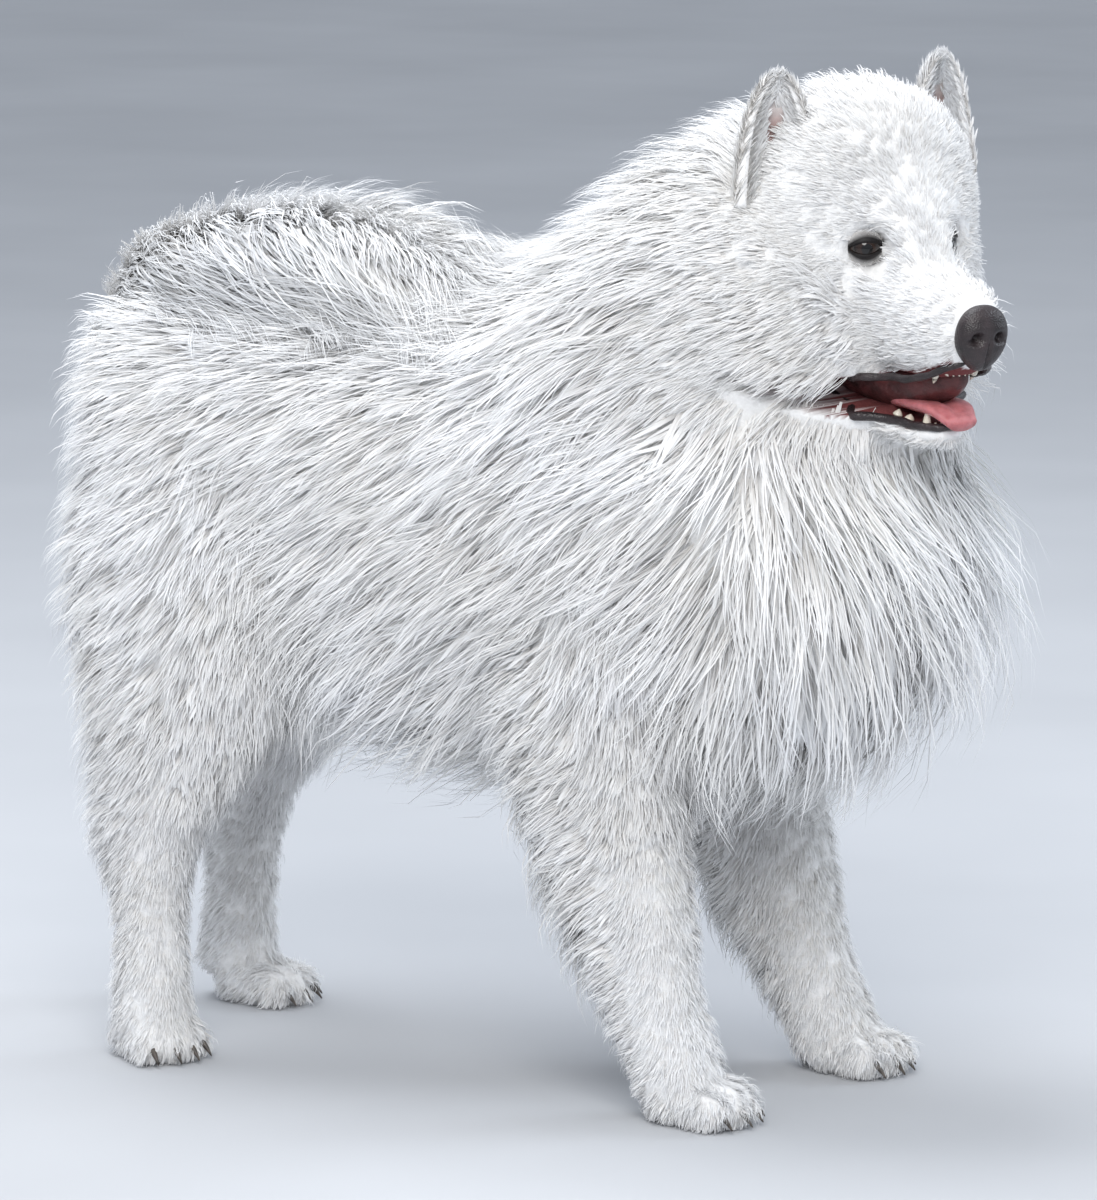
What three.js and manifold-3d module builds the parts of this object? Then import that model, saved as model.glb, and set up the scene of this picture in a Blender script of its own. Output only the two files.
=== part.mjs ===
// A samoyed standing at rest, life size, head turned to its right, mouth open, tail curled on its back.
// Millimetres. +X is forward, +Y is the dog's left, +Z is up, and the paws stand on z = 0.
import * as THREE from 'three';
import { mergeVertices } from 'three/addons/utils/BufferGeometryUtils.js';
import Module from 'manifold-3d';

const wasm = await Module();
wasm.setup();

// Driving dimensions
const CORE_REACH = 0.45; // how far the solid part of the coat goes from the skin to the hair tips
const GAP = 0.35; // clearance between neighbouring pieces
const EYE_LEVEL = new THREE.Vector3(347, -43, 609); // the point midway between the eyes
const HEAD_TURN = THREE.MathUtils.degToRad(-30);
const HEAD_DIP = THREE.MathUtils.degToRad(9);
const EYE_RADIUS = 11.5;
const EYE_SPREAD = 31; // from the head's middle to each eye's
const EYE_DEPTH = -7; // of the eyes' middles behind their fronts
const LID_WALL = 2.6;
const EAR_HEIGHT = 90;
const EAR_HALF_WIDTH = 28;
const EAR_WALL = 8;
const EAR_CUP = 0.7; // the cup's depth as a share of its half width
const EAR_SWEEP = 1.45; // how far round the cup goes to each side
const NOSE_PAD = [11, 19.5, 18.5]; // half sizes
const UPPER_LIP_RADIUS = 3.6;
const LOWER_LIP_RADIUS = 3.4;
const FORE_STEP = 25; // the far front paw stands this far ahead of the near one
const HIND_STEP = -48; // the far hind paw's leg reaches this far behind the near one
const PAW_LENGTH = 80;
const PAW_WIDTH = 62;
const PAW_HEIGHT = 40;
const HIND_PAW_SIZE = 0.93;
const CLAW_RADIUS = 3;
const LOCK_THICKNESS = 9;
const LOCK_THINNING = 0.15; // lost from a lock's thickness at each step along it
const ROOT_DEPTH = 14; // how deep a lock's root is sunk in the core

// Where each ear stands in the head's own frame, and how far it leans to the middle, back and outwards
const EARS = {
  left: { side: 1, place: [-63, 72.4, 21.4], lean: 0.05, back: 0.15, turn: 0.1 },
  right: { side: -1, place: [-46, -79, 19], lean: 0.12, back: 0.29, turn: -0.5 },
};

// Where each paw stands, with its turn
const PAWS = {
  fore_paw_right: { x: 219, y: -96, turn: 0, size: 1 },
  fore_paw_left: { x: 219 + FORE_STEP, y: 96, turn: 0, size: 1 },
  hind_paw_right: { x: -216, y: -99, turn: -0.4, size: HIND_PAW_SIZE },
  hind_paw_left: { x: -192 + HIND_STEP, y: 99, turn: 0.1, size: HIND_PAW_SIZE },
};

const FORWARD = new THREE.Vector3(1, 0, 0);
const LEFT = new THREE.Vector3(0, 1, 0);
const UP = new THREE.Vector3(0, 0, 1);

// Each row of a form: x, y, z of its middle, then half the flesh's width, its reach up and its reach
// down, then the coat's depth on top, at the sides and below. On a leg up means forward, down means back.
const TORSO = [
  [-280, 0, 425, 44, 58, 62, 30, 34, 30],
  [-256, 0, 428, 82, 90, 88, 42, 42, 34],
  [-195, 0, 434, 96, 98, 92, 44, 42, 50],
  [-105, 0, 437, 94, 100, 104, 46, 46, 112],
  [-10, 0, 434, 100, 106, 132, 50, 52, 118],
  [80, 0, 430, 106, 110, 152, 58, 58, 96],
  [165, 0, 430, 100, 106, 150, 66, 68, 80],
  [232, 0, 432, 88, 98, 126, 84, 84, 100],
  [280, 0, 438, 66, 78, 96, 104, 104, 110],
  [312, 0, 446, 32, 44, 54, 116, 116, 116],
];
const NECK = [
  [75, 0, 430, 98, 90, 100, 56, 66, 80],
  [135, 0, 490, 92, 84, 104, 50, 74, 96],
  [195, -2, 548, 86, 76, 106, 48, 82, 126],
  [243, -10, 596, 76, 74, 96, 44, 78, 134],
  [275, -20, 630, 62, 62, 70, 36, 60, 100],
];
const FRONT_LEG = [
  [118, 62, 390, 34, 66, 66, 34, 44, 40],
  [138, 80, 325, 38, 55, 60, 34, 40, 44],
  [150, 88, 262, 33, 38, 44, 26, 24, 54],
  [164, 91, 195, 27, 30, 31, 13, 14, 56],
  [180, 93, 130, 25.5, 26, 27, 8, 9, 46],
  [190, 94, 85, 23, 22, 24, 6, 7, 26],
  [199, 95, 52, 25, 24, 27, 5, 5, 13],
  [206, 96, 24, 27, 27, 29, 3, 3, 4],
];
const HIND_LEG = [
  [-185, 50, 430, 42, 88, 82, 36, 44, 36],
  [-180, 66, 360, 48, 80, 86, 34, 38, 40],
  [-176, 82, 290, 42, 58, 76, 26, 28, 46],
  [-192, 94, 225, 32, 38, 50, 16, 18, 38],
  [-212, 99, 165, 25, 27, 34, 9, 10, 24],
  [-217, 100, 110, 21, 21, 23, 6, 6, 10],
  [-217, 100, 60, 22, 22, 23, 5, 5, 7],
  [-216, 100, 24, 25, 26, 27, 3, 3, 4],
];
const TAIL = [
  [-232, 0, 480, 28, 28, 28, 16, 30, 10],
  [-256, -3, 510, 22, 22, 22, 16, 36, 8],
  [-246, -8, 546, 20, 20, 20, 16, 56, 4],
  [-200, -16, 562, 18, 18, 18, 20, 84, 6],
  [-130, -28, 572, 16, 16, 16, 30, 96, 10],
  [-60, -40, 570, 13, 13, 13, 30, 92, 10],
  [-8, -52, 556, 9, 9, 9, 26, 66, 14],
  [22, -62, 540, 4, 4, 4, 18, 36, 14],
];

// The head's rows are in its own frame, from the point between the eyes: forward, left, up.
const HEAD = [
  [-112, 0, -8, 46, 50, 50, 20, 34, 30],
  [-88, 0, -2, 62, 80, 73, 30, 42, 34],
  [-52, 0, -5, 68, 86, 79, 30, 40, 26],
  [-24, 0, -8, 59, 81, 77, 22, 28, 14],
  [-6, 0, -18, 46, 66, 66, 10, 15, 9],
  [6, 0, -24, 38, 59, 59, 6, 10, 8],
  [18, 0, -32, 34, 50, 50, 4, 6, 6],
  [34, 0, -42, 33, 37, 37, 3, 4, 4],
  [60, 0, -42, 29, 34, 34, 3, 3, 3],
  [80, 0, -40, 24, 27, 27, 2, 2, 2],
  [91, 0, -37, 17, 18, 20, 1, 1, 1],
];
const JAW = [
  [-54, 0, -97, 43, 13, 16, 2, 8, 8],
  [-15, 0, -111, 35, 9, 11, 1, 4, 6],
  [25, 0, -116, 27, 7, 8, 1, 3, 5],
  [55, 0, -115, 19, 6, 7, 1, 2, 4],
  [72, 0, -111, 10, 4, 6, 1, 1, 3],
];
const TONGUE = [
  [-30, 0, -104, 18, 6, 6, 0, 0, 0],
  [5, 0, -103, 20, 6, 6, 0, 0, 0],
  [40, 0, -100, 19, 6, 5, 0, 0, 0],
  [66, 0, -98, 18, 6, 5, 0, 0, 0],
  [82, 0, -102, 12, 5, 5, 0, 0, 0],
];
// The edge of each lip on the dog's left, from the corner of the mouth to the front.
const UPPER_LIP = [
  [-50, 47, -85], [-30, 45, -89], [-8, 41, -89], [14, 36, -85], [34, 31, -80], [58, 27, -75],
  [76, 21, -66], [86, 11, -58], [88, 0, -54],
];
const LOWER_LIP = [
  [-51, 46, -87], [-32, 42, -99], [-10, 36, -108], [14, 28, -111], [38, 22, -110], [58, 16, -109],
  [70, 8, -107], [73, 0, -106],
];

// Materials
const finish = (color, roughness) => new THREE.MeshStandardMaterial({ color, roughness, metalness: 0 });
const WHITE_COAT = finish(0xe6e6e8, 0.95);
const PAW_COAT = finish(0xe2e0de, 0.95);
const DARK_LEATHER = finish(0x17120f, 0.45);
const EYE_DARK = finish(0x1a0f0a, 0.08);
const TONGUE_PINK = finish(0xc9606a, 0.4);

// Numbers drawn the same way every time
function dice(seed) {
  let state = seed;
  return () => {
    state = (state * 1664525 + 1013904223) % 4294967296;
    return state / 4294967296;
  };
}

// A closed three.js geometry as a solid that can be joined and cut
function solidOf(geometry) {
  const bare = geometry.clone();
  bare.deleteAttribute('normal');
  bare.deleteAttribute('uv');
  const merged = mergeVertices(bare, 1e-3);
  return new wasm.Manifold(new wasm.Mesh({
    numProp: 3,
    vertProperties: new Float32Array(merged.attributes.position.array),
    triVerts: new Uint32Array(merged.index.array),
  }));
}

function geometryOf(solid) {
  const mesh = solid.getMesh();
  const geometry = new THREE.BufferGeometry();
  geometry.setAttribute('position', new THREE.BufferAttribute(mesh.vertProperties, 3));
  geometry.setIndex(new THREE.BufferAttribute(mesh.triVerts, 1));
  return geometry;
}

const join = (solids) => solids.reduce((whole, piece) => whole.add(piece));
const largest = (solid) => solid.decompose().reduce((a, b) => (a.volume() > b.volume() ? a : b));

// A closed skin over rings of points, each ring turning from left to up, with a point at both ends
function ringGeometry(rings, first, last) {
  const around = rings[0].length;
  const points = [first, ...rings.flat(), last];
  const end = points.length - 1;
  const faces = [];
  for (let j = 0; j < around; j++) {
    const next = (j + 1) % around;
    faces.push(0, 1 + next, 1 + j);
    for (let i = 0; i < rings.length - 1; i++) {
      const near = 1 + i * around;
      const far = near + around;
      faces.push(near + j, near + next, far + next, near + j, far + next, far + j);
    }
    faces.push(end, end - around + j, end - around + next);
  }
  const geometry = new THREE.BufferGeometry().setFromPoints(points);
  geometry.setIndex(faces);
  return geometry;
}

// A form through rows of sizes, smooth between the rows
class Form {
  constructor(rows, shape) {
    this.rows = rows;
    Object.assign(this, { steps: 16, around: 16, fullness: 2.2, frame: null, ends: 0.5, upright: false }, shape);
    this.places = [0];
    for (let k = 1; k < rows.length; k++) {
      const span = new THREE.Vector3(...rows[k]).distanceTo(new THREE.Vector3(...rows[k - 1]));
      this.places.push(this.places[k - 1] + span);
    }
    this.span = this.places.at(-1);
  }

  row(t) {
    const { rows, places } = this;
    const at = t * this.span;
    const last = rows.length - 1;
    const beyond = places.findIndex((p) => p > at);
    const k = beyond < 0 ? last - 1 : Math.max(0, beyond - 1);
    const gap = places[k + 1] - places[k];
    const s = (at - places[k]) / gap;
    const slope = (i, c) => {
      const a = Math.max(0, i - 1);
      const b = Math.min(last, i + 1);
      return (rows[b][c] - rows[a][c]) / (places[b] - places[a]);
    };
    return rows[k].map((_, c) => (2 * s ** 3 - 3 * s ** 2 + 1) * rows[k][c]
      + (s ** 3 - 2 * s ** 2 + s) * gap * slope(k, c)
      + (3 * s ** 2 - 2 * s ** 3) * rows[k + 1][c]
      + (s ** 3 - s ** 2) * gap * slope(k + 1, c));
  }

  axes(t) {
    if (this.upright) return { along: FORWARD, side: LEFT, rise: UP };
    const ahead = new THREE.Vector3(...this.row(Math.min(1, t + 0.01)));
    const behind = new THREE.Vector3(...this.row(Math.max(0, t - 0.01)));
    const along = ahead.sub(behind).normalize();
    const side = LEFT.clone().addScaledVector(along, -along.dot(LEFT)).normalize();
    return { along, side, rise: along.clone().cross(side) };
  }

  // The point at t along the form and at angle a round it, at a share of the coat's depth
  point(t, a, reach, grow = 0) {
    const [x, y, z, width, up, down, coatUp, coatSide, coatDown] = this.row(t);
    const { side, rise } = this.axes(t);
    const c = Math.cos(a);
    const s = Math.sin(a);
    const coat = coatSide * c * c + (s > 0 ? coatUp : coatDown) * s * s;
    const full = (wave) => Math.sign(wave) * Math.abs(wave) ** (2 / this.fullness);
    const across = (width + reach * coat + grow) * full(c);
    const high = ((s > 0 ? up : down) + reach * coat + grow) * full(s);
    const place = new THREE.Vector3(x, y, z).addScaledVector(side, across).addScaledVector(rise, high);
    return this.frame ? place.applyMatrix4(this.frame) : place;
  }

  end(t, reach, grow) {
    const row = this.row(t);
    const { along } = this.axes(t);
    const out = (t > 0.5 ? 1 : -1) * (this.ends * row[3] * 0.5 + this.ends * reach * row[8] + grow);
    const place = new THREE.Vector3(...row).addScaledVector(along, out);
    return this.frame ? place.applyMatrix4(this.frame) : place;
  }

  solid(reach, grow = 0) {
    const rings = [];
    for (let i = 0; i <= this.steps; i++) {
      const ring = [];
      for (let j = 0; j < this.around; j++) {
        ring.push(this.point(i / this.steps, (j / this.around) * 2 * Math.PI, reach, grow));
      }
      rings.push(ring);
    }
    return solidOf(ringGeometry(rings, this.end(0, reach, grow), this.end(1, reach, grow)));
  }
}

const mirrored = (rows) => rows.map(([x, y, ...sizes]) => [x, -y, ...sizes]);
const STEP_BEND = 0.45; // below 1, most of a step is taken high up the leg
const moved = (rows, shift) => rows.map(([x, ...rest], k) => (
  [x + shift * (k / (rows.length - 1)) ** STEP_BEND, ...rest]));

const headTurn = new THREE.Matrix4().makeRotationZ(HEAD_TURN);
const headDip = new THREE.Matrix4().makeRotationY(HEAD_DIP);
const headFrame = new THREE.Matrix4().makeTranslation(EYE_LEVEL).multiply(headTurn).multiply(headDip);
const inHead = (t, l, u) => new THREE.Vector3(t, l, u).applyMatrix4(headFrame);

const forms = {
  torso: new Form(TORSO, { steps: 16, around: 16 }),
  neck: new Form(NECK, { steps: 7, around: 16 }),
  head: new Form(HEAD, { steps: 16, around: 18, fullness: 2.3, frame: headFrame, upright: true }),
  jaw: new Form(JAW, { steps: 7, around: 10, frame: headFrame, upright: true }),
  tail: new Form(TAIL, { steps: 16, around: 8, ends: 1 }),
  foreleg_right: new Form(mirrored(FRONT_LEG), { steps: 10, around: 10 }),
  foreleg_left: new Form(moved(FRONT_LEG, FORE_STEP), { steps: 10, around: 10 }),
  hind_leg_right: new Form(mirrored(HIND_LEG), { steps: 10, around: 10 }),
  hind_leg_left: new Form(moved(HIND_LEG, HIND_STEP), { steps: 10, around: 10 }),
};

// Points all over the body, each with its way out and the depth of loose coat over it
const SKIN_SPACING = 22; // between points along a form
const SKIN_AROUND = 20; // points round it
const skin = [];
for (const [name, form] of Object.entries(forms)) {
  if (name === 'jaw') continue;
  const lengthwise = Math.ceil(form.span / SKIN_SPACING);
  for (let i = 0; i <= lengthwise; i++) {
    for (let j = 0; j < SKIN_AROUND; j++) {
      skin.push(skinPoint(name, form, i / lengthwise, (j / SKIN_AROUND) * 2 * Math.PI));
    }
  }
}

function skinPoint(name, form, t, a) {
  const core = form.point(t, a, CORE_REACH);
  const round = form.point(t, a + 0.02, CORE_REACH).sub(form.point(t, a - 0.02, CORE_REACH));
  const behind = form.point(Math.max(0, t - 0.01), a, CORE_REACH);
  const along = form.point(Math.min(1, t + 0.01), a, CORE_REACH).sub(behind);
  const out = round.cross(along).normalize();
  const depth = form.point(t, a, 1).sub(core).dot(out);
  return { name, core, out, depth };
}

const nearest = (place, points, count) => points
  .map((s) => ({ s, d: s.core.distanceToSquared(place) }))
  .sort((a, b) => a.d - b.d)
  .slice(0, count);

// Whether a point lies deeper than BURIED_DEPTH in another part, within BURIED_REACH of one of its points
const BURIED_DEPTH = 3;
const BURIED_REACH = 24;
function buried(point) {
  return Object.keys(forms).some((other) => {
    if (other === point.name || other === 'jaw') return false;
    const [hit] = nearest(point.core, skin.filter((s) => s.name === other), 1);
    const height = point.core.clone().sub(hit.s.core).dot(hit.s.out);
    return height < -BURIED_DEPTH && hit.d - height ** 2 < BURIED_REACH ** 2;
  });
}
const openSkin = skin.filter((s) => !buried(s));

// The way out, the height over the core and the loose coat's depth at a place, blended from near points
const BLEND_POINTS = 6;
const BLEND_SOFTNESS = 60;
function above(place) {
  const hits = nearest(place, openSkin, BLEND_POINTS);
  const out = new THREE.Vector3();
  let height = 0;
  let depth = 0;
  let total = 0;
  for (const { s, d } of hits) {
    const weight = 1 / (d + BLEND_SOFTNESS);
    out.addScaledVector(s.out, weight);
    height += weight * place.clone().sub(s.core).dot(s.out);
    depth += weight * s.depth;
    total += weight;
  }
  return { out: out.normalize(), height: height / total, depth: depth / total };
}

// The way the hair lies at a place on each part
const toward = (x, y, z) => new THREE.Vector3(x, y, z);
const LIE = {
  head: (p) => toward(-0.75, Math.sign(p.y + 30) * 0.25, -0.75),
  neck: (p) => (p.x > 285 ? toward(-0.1, -p.y * 0.004, -1) : toward(-0.55, 0, -0.85)),
  torso: (p) => (p.x > 255 ? toward(-0.15, -p.y * 0.004, -1) : toward(-0.85, 0, p.z > 500 ? -0.35 : -0.75)),
  tail: (p) => toward(-0.1, p.y < -10 - p.x * 0.05 ? -1 : 1, -0.35),
  foreleg: () => toward(-0.75, 0, -0.75),
  hind_leg: () => toward(-0.5, 0, -0.85),
};
const lieOf = (name) => LIE[name.replace(/_(left|right)$/, '')];

// One flat lock: its root sunk in the core, its tip at the coat's full depth, bent to the body all the way
const RISES = [0, 0.3, 0.6, 0.82, 1]; // height over the core at each step, as a share of the loose coat
const SPREADS = [0.6, 1, 0.9, 0.58]; // width at each step, as a share of the full width
const GROW_ASIDE = 9; // how many times its gap a grown lock is wider on each side
const GROW_TIP = 12; // and how many times its gap it is longer
function lock(name, start, { length, width }, turn, grow) {
  const step = length / (RISES.length - 1);
  const place = start.core.clone();
  const path = [];
  const outs = [];
  let heading = null;
  for (const rise of RISES) {
    const { out, height, depth } = above(place);
    if (outs.length) out.add(outs.at(-1)).normalize();
    const way = lieOf(name)(place).applyAxisAngle(out, turn);
    way.addScaledVector(out, -way.dot(out)).normalize();
    heading = heading ? heading.multiplyScalar(0.5).addScaledVector(way, 0.5).normalize() : way;
    const wanted = rise ? rise * depth : -ROOT_DEPTH;
    place.addScaledVector(out, THREE.MathUtils.clamp(wanted - height, -step / 2, step / 2));
    path.push(place.clone());
    outs.push(out);
    place.addScaledVector(heading, step);
  }
  const rings = SPREADS.map((spread, k) => {
    const along = path[k + 1].clone().sub(path[Math.max(0, k - 1)]).normalize();
    const side = outs[k].clone().cross(along).normalize();
    const out = along.clone().cross(side);
    const half = (width / 2) * spread + GROW_ASIDE * grow;
    const base = path[k].clone().addScaledVector(out, -grow).addScaledVector(along, k ? 0 : -grow);
    return [
      base.clone().addScaledVector(side, half),
      base.clone().addScaledVector(out, LOCK_THICKNESS * (1 - LOCK_THINNING * k) + 2 * grow),
      base.clone().addScaledVector(side, -half),
    ];
  });
  const root = rings[0][0].clone().add(rings[0][1]).add(rings[0][2]).multiplyScalar(1 / 3);
  const last = path.at(-1).clone().sub(path.at(-2)).normalize();
  return solidOf(ringGeometry(rings, root, path.at(-1).addScaledVector(last, grow * GROW_TIP)));
}

// Where each part's locks stand: rows along it, how many round it, from where to where, and their size.
// On a leg there are none on the front beyond the place called back.
const COVER = {
  head: { from: 0.1, to: 0.36, rows: 2, around: 8, length: 95, width: 1 },
  neck: { from: 0.14, to: 0.97, rows: 4, around: 9, length: 165, width: 1 },
  torso: { from: 0.05, to: 0.99, rows: 7, around: 8, length: 165, width: 1 },
  tail: { from: 0.1, to: 0.93, rows: 5, around: 4, length: 130, width: 1.1 },
  foreleg: { from: 0.2, to: 0.78, rows: 4, around: 5, length: 105, width: 1, back: 0.5 },
  hind_leg: { from: 0.1, to: 0.66, rows: 3, around: 5, length: 130, width: 1, back: 0.5 },
};

const LEAST_FIT = 0.02; // how much of a bare lock may stick out of its grown twin, in cubic millimetres
const LOCK_SHARES = [1, 0.8, 0.62, 0.45]; // the shares of its full length that a lock may be cut to

// A lock and its grown twin: cut shorter until it no longer folds into itself, or left out
function lockPair(name, start, size, turn) {
  for (const share of LOCK_SHARES) {
    const cut = { length: size.length * share, width: size.width * (0.4 + 0.6 * share) };
    const bare = lock(name, start, cut, turn, 0);
    const grown = lock(name, start, cut, turn, GAP);
    const whole = bare.volume() > 0 && bare.decompose().length === 1;
    if (whole && Math.abs(bare.subtract(grown).volume()) < LEAST_FIT) return { bare, grown };
  }
  return null;
}

const FRONT_OF_LEG = 0.35; // the sine of the angle round a leg beyond which it is its front
const LEAST_DEPTH = 9; // no lock stands where the loose coat is thinner
function lockPairs(name) {
  const { from, to, rows, around, length, width, back } = COVER[name.replace(/_(left|right)$/, '')];
  const random = dice(name.length * 97);
  const pairs = [];
  for (let i = 0; i < rows; i++) {
    for (let j = 0; j < around; j++) {
      const wanted = from + ((to - from) * (i + 0.3 * (random() - 0.5))) / (rows - 1);
      const t = THREE.MathUtils.clamp(wanted, 0, 1);
      const a = ((j + 0.5 * (i % 2) + 0.3 * (random() - 0.5)) / around) * 2 * Math.PI;
      const size = 0.85 + 0.3 * random();
      const turn = 0.35 * (random() - 0.5);
      const start = skinPoint(name, forms[name], t, a);
      if (back < wanted && Math.sin(a) > FRONT_OF_LEG) continue;
      if (start.depth < LEAST_DEPTH || buried(start)) continue;
      const beside = forms[name].point(t, a + (2 * Math.PI) / around, CORE_REACH);
      const spacing = start.core.distanceTo(beside);
      const pair = lockPair(name, start, { length: length * size, width: width * spacing }, turn);
      if (pair) pairs.push(pair);
    }
  }
  return pairs;
}

const hairy = Object.keys(forms).filter((name) => name !== 'jaw');
const allLocks = new Map(hairy.map((name) => [name, lockPairs(name)]));
const locksOf = (name, grow) => allLocks.get(name).map(({ bare, grown }) => (grow ? grown : bare));

const coated = (name, grow) => join([forms[name].solid(CORE_REACH, grow), ...locksOf(name, grow)]);

// An egg of the given half sizes, turned and placed
function egg(place, half, { turn = 0, dip = 0, frame = null, sides = 8, grow = 0 } = {}) {
  const geometry = new THREE.SphereGeometry(1, sides, Math.ceil(sides * 0.7));
  geometry.scale(half[0] + grow, half[1] + grow, half[2] + grow);
  geometry.rotateY(dip);
  geometry.rotateZ(turn);
  geometry.translate(...place);
  if (frame) geometry.applyMatrix4(frame);
  return solidOf(geometry);
}

// A tapered, bent spike or tube through points, with a radius at each
function taper(points, radii, { sides = 6, flat = 1, grow = 0 } = {}) {
  const rings = points.slice(0, -1).map((p, k) => {
    const along = points[k + 1].clone().sub(points[Math.max(0, k - 1)]).normalize();
    const guide = Math.abs(along.dot(UP)) > 0.9 ? FORWARD : UP;
    const side = guide.clone().cross(along).normalize();
    const rise = along.clone().cross(side);
    return Array.from({ length: sides }, (_, j) => {
      const a = (j / sides) * 2 * Math.PI;
      return p.clone()
        .addScaledVector(side, (radii[k] + grow) * Math.cos(a))
        .addScaledVector(rise, (radii[k] * flat + grow) * Math.sin(a));
    });
  });
  const heel = points[0].clone().sub(points[1]).setLength(grow).add(points[0]);
  const tip = points.at(-1).clone().sub(points.at(-2)).setLength(grow * 2).add(points.at(-1));
  rings[0].forEach((p) => p.add(heel).sub(points[0]));
  return solidOf(ringGeometry(rings, heel, tip));
}

// A paw: a pad with four toes and their claws. The two inner toes reach further and stand higher.
const INNER_TOE = { reach: 0.24, height: 0.44 };
const OUTER_TOE = { reach: 0.15, height: 0.4 };
function paw({ x, y, turn, size }, grow = 0) {
  const length = PAW_LENGTH * size;
  const width = PAW_WIDTH * size;
  const frame = new THREE.Matrix4().makeTranslation(x, y, 0).multiply(new THREE.Matrix4().makeRotationZ(turn));
  const padHalf = [length * 0.36, width * 0.43, PAW_HEIGHT * 0.56];
  const pieces = [egg([-length * 0.14, 0, PAW_HEIGHT * 0.42], padHalf, { frame, grow })];
  for (const row of [-1.5, -0.5, 0.5, 1.5]) {
    const toe = Math.abs(row) < 1 ? INNER_TOE : OUTER_TOE;
    const reach = length * toe.reach;
    const spread = row * width * 0.235;
    const toeHalf = [length * 0.25, width * 0.145, PAW_HEIGHT * toe.height];
    const splay = { turn: row * 0.12, frame, sides: 6, grow };
    pieces.push(egg([reach, spread, PAW_HEIGHT * 0.34], toeHalf, splay));
    const root = new THREE.Vector3(reach + length * 0.17, spread * 1.05, PAW_HEIGHT * 0.34);
    const tip = root.clone().add(new THREE.Vector3(length * 0.14, row * 1.4, -PAW_HEIGHT * 0.2));
    const claw = [root, tip].map((p) => p.applyMatrix4(frame));
    pieces.push(taper(claw, [CLAW_RADIUS], { sides: 4, grow }));
  }
  return join(pieces);
}

// An ear: a pointed cup, open to the front and outwards. Each ring runs round the outside of the wall and
// back along its inside.
function ear({ side, place, lean, back, turn }, grow = 0) {
  const frame = new THREE.Matrix4().makeTranslation(...place)
    .multiply(new THREE.Matrix4().makeRotationX(side * lean))
    .multiply(new THREE.Matrix4().makeRotationY(-back))
    .multiply(new THREE.Matrix4().makeRotationZ(turn));
  const levels = 6;
  const columns = 3;
  const rings = [];
  for (let i = 0; i <= levels; i++) {
    const h = i / levels;
    const half = EAR_HALF_WIDTH * Math.sqrt(Math.max(0.03, 1 - h ** 3)) * (1 - 0.18 * h) + grow;
    const wall = EAR_WALL * (1 - 0.45 * h) + 2 * grow;
    const height = h * EAR_HEIGHT + (i ? grow : -grow);
    const at = (j, share, shift) => {
      const a = (j / columns) * EAR_SWEEP;
      return new THREE.Vector3(-EAR_CUP * half * Math.cos(a) * share + shift, half * Math.sin(a) * share, height);
    };
    const ring = [];
    for (let j = -columns; j <= columns; j++) ring.push(at(j, 1, 0));
    for (let j = columns; j >= -columns; j--) ring.push(at(j, Math.max(0.3, 1 - wall / half), wall * 0.15));
    rings.push(ring.reverse().map((p) => p.applyMatrix4(frame).applyMatrix4(headFrame)));
  }
  const middle = (ring) => ring.reduce((a, b) => a.clone().add(b)).multiplyScalar(1 / ring.length);
  return solidOf(ringGeometry(rings, middle(rings[0]), middle(rings.at(-1))));
}

// The eyes and the almond opening between their lids
const eyeCentre = (side) => [EYE_DEPTH, side * EYE_SPREAD, 0];
const ball = (side, radius, sides, grow) => (
  egg(eyeCentre(side), [radius, radius, radius], { frame: headFrame, sides, grow }));

function lidOpening(side) {
  const halfLength = 11;
  const across = side * 0.42; // how far the opening looks out to the side
  const tilt = side * 0.16;
  const opening = new THREE.Shape();
  opening.moveTo(-halfLength, 0);
  opening.quadraticCurveTo(-1, 9.5, halfLength, -0.5);
  opening.quadraticCurveTo(0, -8, -halfLength, 0);
  const geometry = new THREE.ExtrudeGeometry(opening, { depth: 30, bevelEnabled: false, curveSegments: 5 });
  const look = new THREE.Matrix4().makeBasis(
    new THREE.Vector3(0, 1, 0), new THREE.Vector3(0, 0, 1), new THREE.Vector3(1, 0, 0));
  geometry.applyMatrix4(look);
  geometry.rotateX(tilt);
  geometry.rotateZ(across);
  geometry.translate(...eyeCentre(side));
  geometry.applyMatrix4(headFrame);
  return solidOf(geometry);
}

const tooth = (t, l, u, length, radius, lean, grow) => taper(
  [inHead(t, l, u - 3 * Math.sign(length)), inHead(t + lean, l * 0.96, u + length)],
  [radius], { sides: 4, grow });

// One row of teeth, pointing up or down from its edge: a canine, two front teeth and two cheek teeth a side
function teeth(direction, edge, spread, front, grow) {
  const pieces = [];
  for (const side of [-1, 1]) {
    pieces.push(tooth(front - 10, side * spread, edge, direction * 15, 3.4, direction > 0 ? 2 : 0, grow));
    for (let k = 0; k < 2; k++) {
      pieces.push(tooth(front - 3 - k * 0.8, side * (3 + k * 6), edge, direction * 6, 2.8, 0, grow));
    }
    for (let k = 0; k < 2; k++) {
      pieces.push(tooth(front - 26 - k * 17, side * (spread + 2 + k * 2), edge, direction * (6 + k), 4.2, 0, grow));
    }
  }
  return pieces;
}

// The nose leather with its two nostrils
function nose(grow = 0) {
  const pad = egg([93, 0, -35], NOSE_PAD, { frame: headFrame, sides: 10, grow });
  const below = egg([92, 0, -50], [6, 6, 11], { frame: headFrame, sides: 8, grow });
  const leather = pad.add(below);
  if (grow) return leather;
  const nostril = (side) => egg([104, side * 9.5, -36], [6.5, 3.4, 4.6],
    { turn: -side * 0.5, frame: headFrame, sides: 6 });
  return leather.subtract(nostril(1)).subtract(nostril(-1));
}

const tongueForm = new Form(TONGUE, { steps: 8, around: 12, frame: headFrame, upright: true });

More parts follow.
